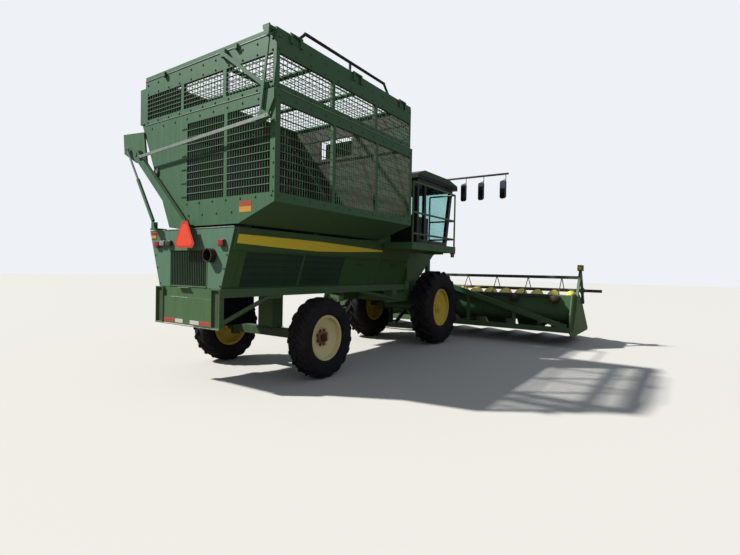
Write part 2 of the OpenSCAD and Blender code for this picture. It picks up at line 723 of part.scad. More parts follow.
hinge_y = 1170;
hinge_z = 3180;
hinge_pin_d = 60;
ear_t = 25;
tower_gap = 10;
tower_t = 55;
tower_foot_y = 40;
dump_base = [710, 2150];
dump_eye = [1460, 3290];
link_base_r = 130;
link_base_a = 205;
link_base = [hinge_y + link_base_r * cos(link_base_a), hinge_z + link_base_r * sin(link_base_a)];

// The two planes of the dump gear; children are drawn for X growing away from the basket
module at_rear_gear() translate([-basket_rear, 0, 0]) mirror([1, 0, 0]) children();
module at_front_gear() translate([-basket_front, 0, 0]) children();
module at_both_gears() {
    at_rear_gear() children();
    at_front_gear() children();
}

tower_x = [ear_t + tower_gap, ear_t + tower_gap + tower_t];

module dump_towers() color(green) at_axle() {
    at_both_gears() difference() {
        union() {
            cross_bar([tower_foot_y, hood_z1 + 60], [hinge_y, hinge_z], tower_x, 110);
            block(tower_x, [tower_foot_y - 90, tower_foot_y + 120], [hood_z1, hood_z1 + 110]);
            // Foot plates that reach in over the deck
            for (y = [[tower_foot_y - 90, tower_foot_y + 120], dump_base[0] * [1, 1] + [-60, 60]])
                block([-90, tower_x[1]], y, [hood_z1 + 0.3, hood_z1 + 24]);
            translate([tower_x[0], hinge_y, hinge_z]) rotate([0, 90, 0])
                cylinder(d = 150, h = tower_t);
        }
        translate([tower_x[0] - 1, hinge_y, hinge_z]) rotate([0, 90, 0])
            cylinder(d = hinge_pin_d + 2 * hub_fit, h = tower_t + 2);
    }
    // Pin of the lid's link on the rear tower
    at_rear_gear() translate([tower_x[1] - 1, link_base[0], link_base[1]]) rotate([0, 90, 0])
        cylinder(d = 30, h = gear_reach - tower_x[1] + 1);
    at_both_gears() translate([tower_x[0], dump_base[0], dump_base[1]]) rotate([0, 90, 0])
        cylinder(d = 34, h = tower_t);
    // Pads that the basket rests on
    for (x = [-5300, -4000, -2800], y = [-850, 260])
        block([x, x + 120], [y, y + 140], [hood_z1, basket_z0 - 0.3]);
    at_both_gears() for (x = [tower_x[0], tower_x[1] - 10])
        block([x, x + 10], [dump_base[0] - 35, dump_base[0] + 35], [hood_z1 + 15, dump_base[1] + 35]);
}

// Basket

window_low = [2440, 3460];
window_up = [3680, 4020];
post = 60;
corner = 80;
side_windows = 3;
rear_low_y = [-basket_right + corner, 60];
rear_up_y = [-basket_right + corner, basket_left - corner];

module lower_profile(m) polygon([[-basket_right + m, basket_chine_z + m / 2],
    [-basket_right + m, basket_seam_z + 1], [basket_left - m, basket_seam_z + 1],
    [450 - m, basket_z0 + m], [-980 + m / 3, basket_z0 + m]]);

// Windows of one wall: the run's limits, how many and the width of the posts
function window_w(run, n) = (run[1] - run[0] - (n - 1) * post) / n;
function window_at(run, n, i) = run[0] + i * (window_w(run, n) + post);

side_run = [-basket_rear + corner, -basket_front - corner];

// Cuts through the rear and front walls
module end_windows(run, n, z, x) for (i = [0 : n - 1])
    block(x, [window_at(run, n, i), window_at(run, n, i) + window_w(run, n)], z);
module side_cuts(z, y) for (i = [0 : side_windows - 1])
    block([window_at(side_run, side_windows, i),
        window_at(side_run, side_windows, i) + window_w(side_run, side_windows)], y, z);

ear = [[1000, 3050], [1080, 3500], [1640, 3545], [1610, 3250], [1270, 3080], [1170, 3060]];

module basket_lower() color(green) at_axle() {
    difference() {
        translate([-basket_rear, 0, 0]) rotate([90, 0, 90])
            linear_extrude(basket_rear - basket_front) intersection() {
                lower_profile(0);
                translate([-5000, 0]) square([10000, basket_seam_z]);
            }
        translate([-basket_rear + basket_wall, 0, 0]) rotate([90, 0, 90])
            linear_extrude(basket_rear - basket_front - 2 * basket_wall)
                lower_profile(basket_wall);
        end_windows(rear_low_y, 2, window_low, [-basket_rear - 1, -basket_rear + basket_wall + 1]);
        side_cuts(window_low, [-basket_right - 1, -basket_right + basket_wall + 1]);
    }
    // Ear plates, their outer bar and the hinge pins
    at_both_gears() {
        plate_yz(ear, [-1, ear_t]);
        translate([0, hinge_y, hinge_z]) rotate([0, 90, 0])
            cylinder(d = hinge_pin_d, h = tower_x[1] + 8);
    }
    // Bracket over the window with the pin of the lid's crank
    at_rear_gear() {
        plate_yz([[-1585, 3595], [-1370, 3595], [-1385, 3290], [-1470, 3280], [-1585, 3480]],
            [-1, ear_t]);
        translate([-1, crank_y, crank_z]) rotate([0, 90, 0]) cylinder(d = 30, h = gear_x[1] + 3);
    }
}

module mesh_pane(y, z, nx, ny) {
    // Drawn in Y and Z with its thickness along X
    rotate([90, 0, 90]) translate([y[0], z[0], 0])
        grille(y[1] - y[0], z[1] - z[0], nx, ny, 7, 6);
}

module basket_lower_mesh() color(green) at_axle() {
    w = window_w(rear_low_y, 2);
    for (i = [0, 1]) {
        y = window_at(rear_low_y, 2, i);
        translate([-basket_rear + 10, 0, 0]) mesh_pane([y, y + w], window_low, 17, 9);
    }
    sw = window_w(side_run, side_windows);
    for (i = [0 : side_windows - 1])
        translate([window_at(side_run, side_windows, i), -basket_right + 16, window_low[0]])
            rotate([90, 0, 0])
                grille(sw, window_low[1] - window_low[0], 17, 9, 7, 6);
}

up_rear = basket_rear - basket_ledge;
up_front = basket_front + basket_ledge;
up_right = basket_right - basket_ledge;
up_left = basket_left - basket_ledge;
duct_opening_y = duct_half + 40;
// Chute plate of the upper section: its stand-off and its lower and upper edge
chute_out = 120;
chute_z = [3640, 4150];

// Hinges along the right edge, as parts of the edge's length
hinge_at = [0.1, 0.5, 0.9];
hinge_w = 120;
hinge_d = 24;

function hinge_x(i) = -up_rear + i * (up_rear - up_front) - hinge_w / 2;

module basket_upper() color(green) at_axle() {
    difference() {
        block([-up_rear, -up_front], [-up_right, up_left], [basket_seam_z, basket_top_z]);
        block([-up_rear + basket_wall, -up_front - basket_wall],
            [-up_right + basket_wall, up_left - basket_wall],
            [basket_seam_z - 1, basket_top_z + 1]);
        end_windows(rear_up_y, 3, window_up, [-up_rear - 1, -up_rear + basket_wall + 1]);
        side_cuts(window_up, [-up_right - 1, -up_right + basket_wall + 1]);
        side_cuts(window_up, [up_left - basket_wall - 1, up_left + 1]);
        // Mouth for the duct in the front wall
        block([-up_front - basket_wall - 1, -up_front + 1],
            [-duct_opening_y, duct_opening_y], [duct_top - 300, duct_top + 40]);
    }
    // Brace from the rim down to the crank's bracket
    at_rear_gear() {
        cross_bar([crank_y + 20, basket_seam_z + 60], [-670, basket_top_z - 60], [6, 30], 45);
        block([-26, 30], [-720, -640], [basket_top_z - 110, basket_top_z - 20]);
        block([-26, 30], [crank_y - 20, crank_y + 60], [basket_seam_z + 5, basket_seam_z + 75]);
    }
    // Brackets on the rear rim, and the chute plate along the left side
    at_rear_gear() for (y = [-900, 610]) block([-basket_ledge - 1, 15], [y - 25, y + 25],
        [4200, basket_top_z]);
    block([-up_rear, -up_front], [up_left + chute_out, up_left + chute_out + 15], chute_z);
    for (x = [-up_rear, -4450, -3460, -up_front - 20])
        block([x, x + 20], [up_left - 1, up_left + chute_out + 1], chute_z);
    // Hinge knuckles beside the lid's own
    for (i = hinge_at, e = [-42, hinge_w + 2]) translate([hinge_x(i) + e, 0, 0]) {
        translate([0, lid_hinge_y, lid_hinge_z]) rotate([0, 90, 0]) cylinder(d = hinge_d, h = 40);
        block([0, 40], [lid_hinge_y - hinge_d / 2, -up_right + 1], [4190, basket_top_z]);
        block([0, 40], [lid_hinge_y - hinge_d / 2, -up_right], [basket_top_z - 1, lid_hinge_z]);
    }
}

module basket_upper_mesh() color(green) at_axle() {
    w = window_w(rear_up_y, 3);
    for (i = [0 : 2]) {
        y = window_at(rear_up_y, 3, i);
        translate([-up_rear + 10, 0, 0]) mesh_pane([y, y + w], window_up, 9, 4);
    }
    sw = window_w(side_run, side_windows);
    for (i = [0 : side_windows - 1], y = [-up_right + 16, up_left - 10])
        translate([window_at(side_run, side_windows, i), y, window_up[0]]) rotate([90, 0, 0])
            grille(sw, window_up[1] - window_up[0], 9, 4, 8, 6);
}

// Lid over the basket, hinged along the right edge, and the gear that opens it

lid_z = basket_top_z + 0.3;
lid_t = 40;
lid_hinge_y = -up_right - 12;
lid_hinge_z = lid_z + lid_t;
crank_y = -1432;
crank_z = 3320;
// Crank arms: one equals the lid's horn, the other equals the arm of the tower's pin,
// so both links stay parallel and the lid stays level while the basket tips
horn = [60, -110];
link_arm = [link_base[0] - hinge_y, link_base[1] - hinge_z];
gear_x = [60, 80];
rod_x = [36, 54];
rod_pin_d = 16;
link_slack = 1;
// Rail on the lid: where it starts and its length
rail_x = -4970;
rail_len = 1750;

module basket_lid() color(green) at_axle() {
    x = [-up_rear, -up_front];
    y = [-up_right + 5, up_left - 5];
    difference() {
        block(x, y, [lid_z, lid_z + lid_t]);
        for (i = [0 : 2], j = [0 : 1])
            block([x[0] + 60 + i * 1000, x[0] + 60 + i * 1000 + 930],
                [y[0] + 60 + j * 1310, y[0] + 60 + j * 1310 + 1250], [lid_z - 1, lid_z + lid_t + 1]);
    }
    for (i = [0 : 2], j = [0 : 1])
        translate([x[0] + 60 + i * 1000, y[0] + 60 + j * 1310, lid_z + 10])
            grille(930, 1250, 7, 9, 9, 6);
    // Rail along the right edge
    for (p = [[0, -140], [900, 900], [rail_len, rail_len + 140]])
        bar([rail_x + p[0], y[0] + 30, lid_z + 170], [rail_x + p[1], y[0] + 30, lid_z + lid_t - 5],
            36);
    bar([rail_x - 15, y[0] + 30, lid_z + 170], [rail_x + rail_len + 15, y[0] + 30, lid_z + 170], 40);
    // Horn for the rod
    at_rear_gear() difference() {
        union() {
            block([-30, gear_x[1]], [lid_hinge_y + 40, lid_hinge_y + 130], [lid_z + 0.5, lid_z + 34]);
            translate([0, lid_hinge_y, lid_hinge_z]) plate_yz([[25, -6], [130, -6], [130, -40],
                horn + [26, -10], horn + [10, -26], horn + [-24, -16]], gear_x);
        }
        translate([gear_x[0] - 1, lid_hinge_y + horn[0], lid_hinge_z + horn[1]]) rotate([0, 90, 0])
            cylinder(d = rod_pin_d + 2 * hub_fit, h = 30);
    }
    // Hinge leaves over the right wall
    for (i = hinge_at) translate([hinge_x(i), 0, 0]) {
        translate([0, lid_hinge_y, lid_hinge_z]) rotate([0, 90, 0])
            cylinder(d = hinge_d, h = hinge_w);
        block([0, hinge_w], [lid_hinge_y, y[0] + 10], [lid_hinge_z - 4, lid_hinge_z + 4]);
    }
}

module lid_crank() color(green) at_axle() at_rear_gear() difference() {
    c = [crank_y, crank_z];
    f = c + horn;
    q = c + link_arm;
    union() {
        plate_yz([c + [-28, 34], c + [34, 24], f + [28, 8], f + [8, -26], f + [-26, -14],
            q + [6, -27], q + [-27, -8], q + [-12, 24]], gear_x);
        // Pin for the link
        translate([gear_x[1] - 1, q[0], q[1]]) rotate([0, 90, 0]) cylinder(d = 20, h = 34);
    }
    translate([gear_x[0] - 1, c[0], c[1]]) rotate([0, 90, 0])
        cylinder(d = 30 + 2 * hub_fit, h = 22);
    translate([gear_x[0] - 1, f[0], f[1]]) rotate([0, 90, 0])
        cylinder(d = rod_pin_d + 2 * hub_fit, h = 22);
}

// Rod between the crank's arm and the lid's horn, with a pin at each end
module lid_rod() color(green) at_axle() at_rear_gear() {
    p = [crank_y + horn[0], crank_z + horn[1]];
    q = [lid_hinge_y + horn[0], lid_hinge_z + horn[1]];
    cross_bar(p - (q - p) * 0.02, q + (q - p) * 0.02, rod_x, 30);
    for (e = [p, q]) translate([rod_x[1] - 1, e[0], e[1]]) rotate([0, 90, 0])
        cylinder(d = rod_pin_d, h = gear_x[1] - rod_x[1]);
}

module lid_link() color(green) at_axle() at_rear_gear() {
    p = link_base;
    q = [crank_y, crank_z] + link_arm;
    v = q - p;
    translate([tower_x[1] + 6, p[0], p[1]]) rotate([atan2(v[1], v[0]), 0, 0])
        difference() {
            translate([0, -30, -20]) cube([16, norm(v) + 62, 40]);
            translate([-1, 0, 0]) rotate([0, 90, 0]) cylinder(d = 30 + 2 * hub_fit, h = 18);
            translate([-1, norm(v), 0]) rotate([0, 90, 0]) cylinder(d = 20 + link_slack, h = 18);
        }
}

// Dump cylinders

dump_v = dump_eye - dump_base;
dump_a = atan2(dump_v[1], dump_v[0]);
dump_len = norm(dump_v);
barrel_len = 800;

module at_dump(x) at_both_gears() translate([x, dump_base[0], dump_base[1]])
    rotate([dump_a, 0, 0]) children();

module dump_barrels() color(green) at_axle() at_dump(tower_x[0] + tower_t / 2) {
    difference() {
        union() {
            rotate([-90, 0, 0]) translate([0, 0, 64]) cylinder(d = 50, h = barrel_len - 64);
            rotate([-90, 0, 0]) translate([0, 0, 30]) cylinder(d = 24, h = 40);
            translate([-14, 0, 0]) rotate([0, 90, 0]) cylinder(d = 72, h = 28);
        }
        translate([-20, 0, 0]) rotate([0, 90, 0]) cylinder(d = 34 + 2 * hub_fit, h = 40);
        rotate([-90, 0, 0]) translate([0, 0, 80]) cylinder(d = 30.2, h = barrel_len);
    }
}

module dump_rods() color(steel) at_axle() at_dump(tower_x[0] + tower_t / 2) {
    rotate([-90, 0, 0]) translate([0, 0, 560]) cylinder(d = 30, h = dump_len - 590);
    difference() {
        translate([-14, dump_len, 0]) rotate([0, 90, 0]) cylinder(d = 80, h = 28);
        translate([-20, dump_len, 0]) rotate([0, 90, 0]) cylinder(d = 34, h = 40);
    }
}

// Header

row_half = (row_count - 1) / 2;
rows = [for (i = [0 : row_count - 1]) (i - row_half) * row_pitch];
divider_ys = [for (i = [0 : row_count]) (i - row_count / 2) * row_pitch];
hood_pitch = row_pitch / 2;
end_y = 3390;
deck_x = 1985;
deck_z = 1030;
deck_a = 23.6;
deck_len = 1000;
truss_x = [1260, 1350];
lift_base = [450, 350];
lift_eye = [1050, 720];
lift_y = 370;

module header_frame() color(green) at_axle() {
    // Lower beam, diagonals and uprights behind the trough
    block(truss_x, [-end_y, end_y], [310, 420]);
    both_sides() {
        cross_bar([330, 1320], [end_y - 60, 420], truss_x, 110);
        block(truss_x, [300, 390], [310, 1380]);
        block([truss_x[0] + 20, truss_x[1] - 20], [1080, 1150], [400, 1120]);
        block([truss_x[0] + 20, truss_x[1] - 20], [2180, 2250], [400, 800]);
        // Lift arm with its pivot
        difference() {
            plate_xz([[285, 1000], [350, 1070], [truss_x[0] + 10, 1325], [truss_x[1] - 6, 1325],
                [truss_x[1] - 6, 426], [truss_x[0] + 6, 426], [1000, 640], [390, 930]],
                [425, 485]);
            translate([lift_pivot_x, 400, lift_pivot_z]) rotate([-90, 0, 0])
                cylinder(d = 60 + 2 * hub_fit, h = 100);
        }
        block([truss_x[0] + 4, truss_x[1] - 4], [370, 432], [416, 1332]);
        translate([lift_eye[0], 350, lift_eye[1]]) rotate([-90, 0, 0]) cylinder(d = 36, h = 80);
        // End plates
        plate_xz([[truss_x[0], 310], [truss_x[0], 700], [1420, 1130], [2150, 1130], [2450, 1000],
            [3350, 260], [3350, 200], [1500, 200]], [end_y, end_y + 25]);
        // End frame: two legs up to the bar and the cap over them
        plate_xz([[1350, 330], [1440, 330], [2135, 1640], [2050, 1640]], [end_y + 25, end_y + 75]);
        difference() {
            union() {
                plate_xz([[2065, 1640], [2150, 1640], [2560, 900], [2480, 880]],
                    [end_y + 25, end_y + 75]);
                translate([front_pipe_x, end_y + 15, front_pipe_z]) rotate([-90, 0, 0])
                    cylinder(d = front_pipe_d + 60, h = 70);
            }
            translate([front_pipe_x, end_y, front_pipe_z]) rotate([-90, 0, 0])
                cylinder(d = front_pipe_d + 1, h = 100);
        }
        block([1960, 2260], [end_y + 10, end_y + 90], [1640, 1770]);
        block([2000, 2200], [end_y + 25, end_y + 75], [bar_z - 50, bar_z + 50]);
    }
    block([truss_x[0] + 3, truss_x[1] - 3], [-350, 350], [1290, 1377]);
}

trough_c = [1700, 770];
trough_r = 262;
trough_t = 12;

module header_trough() color(green) at_axle() {
    difference() {
        plate_xz([for (a = [180 : 15 : 360]) [trough_c[0] + trough_r * cos(a),
            trough_c[1] + trough_r * sin(a)], [trough_c[0] + trough_r, 870],
            [trough_c[0] + trough_r + trough_t, 870],
            for (a = [360 : -15 : 180]) [trough_c[0] + (trough_r + trough_t) * cos(a),
            trough_c[1] + (trough_r + trough_t) * sin(a)],
            [trough_c[0] - trough_r - trough_t, 1100], [1850, 1100], [1850, 1088],
            [trough_c[0] - trough_r, 1088]], [-end_y, end_y]);
        block([1300, trough_c[0] - 100], [-260, 260], [640, 1060]);
    }
    // Saddles on the truss
    both_sides() for (y = [600, 2000]) block([truss_x[1], trough_c[0] - trough_r - trough_t + 1],
        [y, y + 60], [700, 760]);
    both_sides() block([truss_x[1], trough_c[0] - 60], [3100, 3160], [400, 530]);
}

auger_core = 160;
auger_d = 460;
flight_t = 8;
flight_pitch = 420;
flight_start = 500;
flight_count = floor((end_y - flight_start - 40) / flight_pitch) + 1;

module header_auger() color(steel) at_axle() translate([trough_c[0], 0, trough_c[1]])
    rotate([90, 0, 0]) {
        cylinder(d = auger_core, h = 2 * end_y - 0.6, center = true);
        both_ends() for (i = [0 : flight_count - 1])
            translate([0, 0, flight_start + i * flight_pitch]) rotate([14, 0, 0])
                cylinder(d = auger_d, h = flight_t, $fn = 24);
    }

module both_ends() {
    children();
    mirror([0, 0, 1]) children();
}

// Along the deck's slope: X runs down and forward, Z stands off the deck
module on_deck() translate([deck_x, 0, deck_z]) rotate([0, deck_a, 0]) children();

// A divider between two rows: body, sloping deck and a tapered point
module divider(half_l, half_r) {
    // Deck edges over the rolls
    on_deck() block([0, deck_len], [-half_r, half_l], [-30, 0]);
    // Body below the deck
    intersection() {
        plate_xz([[deck_x, 560], [deck_x, deck_z - 20], [2850, deck_top(2850) - 20], [front_reach, 60],
            [front_reach, 40], [3300, 90], [2300, 200]], [-half_r, half_l]);
        translate([0, 0, 30]) linear_extrude(1200)
            polygon([[deck_x, -half_r + 90], [2850, -half_r + 90], [front_reach, -18],
                [front_reach, 18], [2850, half_l - 90], [deck_x, half_l - 90]]);
    }
}

module row_dividers() color(green) at_axle() {
    half = (row_pitch - row_slot) / 2;
    for (i = [1 : row_count - 1]) translate([0, divider_ys[i], 0]) divider(half, half);
    both_sides() translate([0, divider_ys[row_count], 0])
        divider(end_y - divider_ys[row_count] - 0.3, half);
    // Cross-beam that joins the row units under the trough's lip
    block([deck_x + 30, deck_x + 110], [-end_y + 1, end_y - 1], [480, 580]);
    both_sides() for (y = [900, 2700])
        block([truss_x[1], deck_x + 60], [y, y + 60], [380, 430]);
    both_sides() for (y = [900, 2700])
        block([deck_x, deck_x + 60], [y, y + 60], [400, 500]);
    // Gearbox behind each pair of rolls and a bearing in front of each roll
    for (y = rows) on_deck() {
        block([22, roll_start - 0.3], [y - 115, y + 115], [-150, -20]);
        for (s = [-1, 1])
            block([roll_start + roll_len + 0.3, deck_len - 5],
                [y + s * roll_y - 25, y + s * roll_y + 25], [-130, -20]);
    }
}

// Top of the decks at one X
function deck_top(x) = deck_z - (x - deck_x) * tan(deck_a);

// Yellow hood over half a row unit
module row_hood() intersection() {
    plate_xz([[1890, 1055], [1880, 1110], [1930, 1180], [2010, 1205], [2090, 1190],
        [2750, deck_top(2750) + 26], [2780, deck_top(2780)], [deck_x, deck_z]], [-130, 130]);
    linear_extrude(1400) polygon([[1880, -75], [1960, -115], [2250, -100], [2780, -30],
        [2780, 30], [2250, 100], [1960, 115], [1880, 75]]);
}

module row_hoods() color(yellow) at_axle() intersection() {
    for (k = [0 : 2 * row_count + 1])
        translate([0, (k - row_count - 0.5) * hood_pitch, 0.3]) row_hood();
    block([1000, 4000], [-end_y + 1, end_y - 1], [0, 2000]);
}

// Stripper rolls: a pair to each row, with bats along them
roll_len = 900;
roll_start = 60;
roll_y = 56;

module stripper_roll() rotate([0, 90, 0]) linear_extrude(roll_len) union() {
    circle(d = 70, $fn = 16);
    for (a = [0 : 60 : 300]) rotate(a) translate([0, -6]) square([50, 12]);
}

module stripper_rolls() color("#303236") at_axle()
    for (y = rows, s = [-1, 1]) translate([0, y + s * roll_y, 0]) on_deck()
        translate([roll_start, 0, -100]) stripper_roll();

// Black bar over the hoods, hangers and the front pipe
bar_x = 2100;
bar_z = 1490;
front_pipe_x = 2370;
front_pipe_z = 1190;
front_pipe_d = 76;
// Turned-down end of the pipe for a clamp
pipe_stub_d = 68;
pipe_stub = 350;

module header_bar() color(black) at_axle() {
    block([bar_x - 35, bar_x + 35], [-end_y - 25, end_y + 25], [bar_z - 35, bar_z + 35]);
    for (i = [-4 : 4]) {
        y = i * row_pitch;
        bar([bar_x, y, bar_z], [front_pipe_x, y, front_pipe_z], 20);
        bar([bar_x, y, bar_z], [1800, y, 1112], 20);
        block([1770, 1830], [y - 20, y + 20], [1100.3, 1114]);
    }
    rotate([90, 0, 0]) translate([front_pipe_x, front_pipe_z, 0]) {
        cylinder(d = front_pipe_d, h = 2 * (pipe_half - pipe_stub), center = true);
        cylinder(d = pipe_stub_d, h = 2 * pipe_half, center = true);
    }
}

// Header lift cylinders

lift_v = lift_eye - lift_base;
lift_a = atan2(lift_v[1], lift_v[0]);
lift_len = norm(lift_v);

module at_lift() both_sides() translate([lift_base[0], lift_y, lift_base[1]])
    rotate([0, -lift_a, 0]) children();

module lift_barrels() color(black) at_axle() at_lift() difference() {
    union() {
        rotate([0, 90, 0]) translate([0, 0, 30]) cylinder(d = 90, h = 470);
        translate([0, -20, 0]) rotate([-90, 0, 0]) cylinder(d = 90, h = 40);
    }
    translate([0, -30, 0]) rotate([-90, 0, 0]) cylinder(d = 36 + 2 * hub_fit, h = 60);
    rotate([0, 90, 0]) translate([0, 0, 60]) cylinder(d = 50.2, h = 500);
}

module lift_rods() color(steel) at_axle() at_lift() {
    rotate([0, 90, 0]) translate([0, 0, 280]) cylinder(d = 50, h = lift_len - 310);
    difference() {
        translate([lift_len, -20, 0]) rotate([-90, 0, 0]) cylinder(d = 90, h = 40);
        translate([lift_len, -30, 0]) rotate([-90, 0, 0]) cylinder(d = 48, h = 60);
    }
}

main_frame();
axles();
hood();
screens();
engine();
rear_lamps();
platforms();
handrails();
cab_frame();
cab_roof();
cab_glass();
seat();
cab_controls();
mirrors();
duct();
dump_towers();
service_door_right_rear();
service_door_right_front();
service_door_left_rear();
service_door_left_front();
cab_door();
cab_door_glass();
front_left_tyre();
front_left_rim();
front_right_tyre();
front_right_rim();
left_knuckle();
right_knuckle();
rear_left_tyre();
rear_left_rim();
rear_right_tyre();
rear_right_rim();
basket_lower();
basket_lower_mesh();
basket_upper();
basket_upper_mesh();
basket_lid();
lid_crank();
lid_rod();
lid_link();
dump_barrels();
dump_rods();
header_frame();
header_trough();
header_auger();
row_dividers();
row_hoods();
stripper_rolls();
header_bar();
lift_barrels();
lift_rods();
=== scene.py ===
import math

import bpy
from mathutils import Matrix, Vector


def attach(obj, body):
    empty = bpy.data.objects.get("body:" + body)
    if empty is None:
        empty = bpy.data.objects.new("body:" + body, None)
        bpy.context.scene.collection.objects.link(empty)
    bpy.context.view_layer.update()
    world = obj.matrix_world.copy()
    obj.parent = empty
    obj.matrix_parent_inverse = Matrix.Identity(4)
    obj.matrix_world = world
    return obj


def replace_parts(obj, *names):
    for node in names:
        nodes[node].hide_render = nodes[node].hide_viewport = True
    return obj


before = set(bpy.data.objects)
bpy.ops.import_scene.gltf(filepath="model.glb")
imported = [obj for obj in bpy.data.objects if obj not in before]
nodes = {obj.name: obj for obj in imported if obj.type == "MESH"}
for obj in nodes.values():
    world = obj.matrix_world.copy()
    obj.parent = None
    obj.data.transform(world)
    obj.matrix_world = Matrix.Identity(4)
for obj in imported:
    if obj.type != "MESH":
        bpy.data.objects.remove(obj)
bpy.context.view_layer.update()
bpy.context.scene.view_settings.view_transform = "Standard"

# Studio: a pale floor, a key light from the left rear, where the sun stood in the
# photograph, a weak and broad fill from the right and an even pale sky. The camera
# stands low behind the machine's right rear corner.

FRONT_AXLE_X = 1.0075


def spot(x, y, z):
    """A place in millimetres from the front axle's middle, on the ground, as metres."""
    return Vector((x / 1000 + FRONT_AXLE_X, y / 1000, z / 1000))


def linear(code):
    """An sRGB hex colour as Blender's linear colour."""
    parts = [int(code[i:i + 2], 16) / 255 for i in (1, 3, 5)]
    return (*[c / 12.92 if c <= 0.04045 else ((c + 0.055) / 1.055) ** 2.4 for c in parts], 1)


def add(tree, kind, inputs=None, **settings):
    """Adds a node with its settings, input values and links."""
    node = tree.nodes.new(kind)
    for key, value in settings.items():
        setattr(node, key, value)
    for key, value in (inputs or {}).items():
        if isinstance(value, bpy.types.NodeSocket):
            tree.links.new(value, node.inputs[key])
        else:
            node.inputs[key].default_value = value
    return node


def new_material(name):
    """An empty material with its tree and its place in the object."""
    material = bpy.data.materials.new(name)
    material.use_nodes = True
    tree = material.node_tree
    tree.nodes.clear()
    return material, tree, add(tree, "ShaderNodeTexCoord").outputs["Object"]


def face_along(thing, place, forward, up):
    """Puts a camera or light at a place and turns it to look along a direction."""
    back = -Vector(forward).normalized()
    right = Vector(up).cross(back).normalized()
    turn = Matrix((right, back.cross(right), back)).transposed().to_4x4()
    thing.matrix_world = Matrix.Translation(place) @ turn


# Lens, place and direction as solved from the photograph
camera_data = bpy.data.cameras.new("camera")
camera_data.lens = 22.42
camera_data.sensor_width = 36
camera_data.clip_end = 300
camera = bpy.data.objects.new("camera", camera_data)
bpy.context.scene.collection.objects.link(camera)
face_along(camera, spot(-9153, -5436, 1575), (0.82319, 0.56753, -0.01638),
           (0.00266, 0.025, 0.99968))
bpy.context.scene.camera = camera

for name, toward, energy, angle in (
        ("key_light", (0.40, -0.58, -0.71), 5.2, 2), ("fill_light", (0.35, 0.85, -0.4), 0.12, 70)):
    light_data = bpy.data.lights.new(name, "SUN")
    light_data.energy = energy
    light_data.angle = math.radians(angle)
    light = bpy.data.objects.new(name, light_data)
    bpy.context.scene.collection.objects.link(light)
    face_along(light, (0, 0, 8), toward, (0, 0, 1))

sky = bpy.data.worlds.new("studio_sky")
sky.use_nodes = True
bpy.context.scene.world = sky
sky.node_tree.nodes.clear()
rays = add(sky.node_tree, "ShaderNodeLightPath")
plain = add(sky.node_tree, "ShaderNodeMath", {0: rays.outputs["Is Camera Ray"],
            1: rays.outputs["Is Transmission Ray"]}, operation="MAXIMUM")
ambient = add(sky.node_tree, "ShaderNodeBackground", {"Color": linear("#d3e0f2"),
              "Strength": 0.34})
seen = add(sky.node_tree, "ShaderNodeBackground", {"Color": linear("#eef2f6"), "Strength": 1.0})
mixed = add(sky.node_tree, "ShaderNodeMixShader", {0: plain.outputs[0], 1: ambient.outputs[0],
            2: seen.outputs[0]})
add(sky.node_tree, "ShaderNodeOutputWorld", {"Surface": mixed.outputs[0]})

bpy.ops.mesh.primitive_plane_add(size=160, location=(0, 0, 0))
floor = bpy.context.object
floor.name = "floor"
material, tree, place = new_material("pale_matte_floor")
shade = add(tree, "ShaderNodeBsdfPrincipled", {"Base Color": linear("#cfcbc3"), "Roughness": 0.95,
            "Specular IOR Level": 0.1})
# What the floor throws back at the machine is as weak as from the field's soil
soil = add(tree, "ShaderNodeBsdfDiffuse", {"Color": linear("#7d7263")})
rays = add(tree, "ShaderNodeLightPath")
mixed = add(tree, "ShaderNodeMixShader", {0: rays.outputs["Is Camera Ray"], 1: soil.outputs[0],
            2: shade.outputs[0]})
add(tree, "ShaderNodeOutputMaterial", {"Surface": mixed.outputs[0]})
floor.data.materials.append(material)

# Main frame: welded rails, bumper posts and cross-beams of painted steel. The green
# machine enamel has dulled in the sun, carries pale field dust on what faces up and
# near the ground, and is scuffed lighter in small spots.


def noise(tree, place, scale, detail=2.0, roughness=0.5):
    """Cloudy noise, its patches about 1 / scale metres across."""
    return add(tree, "ShaderNodeTexNoise", {"Vector": place, "Scale": scale, "Detail": detail,
               "Roughness": roughness}).outputs["Fac"]


def ramp(tree, value, low, high, start, end):
    """A value's range from low to high laid over the one from start to end."""
    return add(tree, "ShaderNodeMapRange", {"Value": value, "From Min": low, "From Max": high,
               "To Min": start, "To Max": end}).outputs[0]


def work_out(tree, operation, first, second, **settings):
    """Two values added, multiplied or compared."""
    return add(tree, "ShaderNodeMath", {0: first, 1: second}, operation=operation,
               **settings).outputs[0]


def blend(tree, share, first, second):
    """Two colours, as hex codes or earlier blends, mixed by a share."""
    first, second = [linear(c) if isinstance(c, str) else c for c in (first, second)]
    return add(tree, "ShaderNodeMix", {"Factor": share, "A": first, "B": second},
               data_type="RGBA").outputs["Result"]


def relief(tree, height, strength, distance, **settings):
    """A fine relief that the light shows and the shape doesn't have."""
    return add(tree, "ShaderNodeBump", {"Height": height, "Strength": strength,
               "Distance": distance}, **settings).outputs[0]


def surface(material, inputs):
    """Gives a material its one shader and returns it finished."""
    shade = add(material.node_tree, "ShaderNodeBsdfPrincipled", inputs)
    add(material.node_tree, "ShaderNodeOutputMaterial", {"Surface": shade.outputs[0]})
    return material


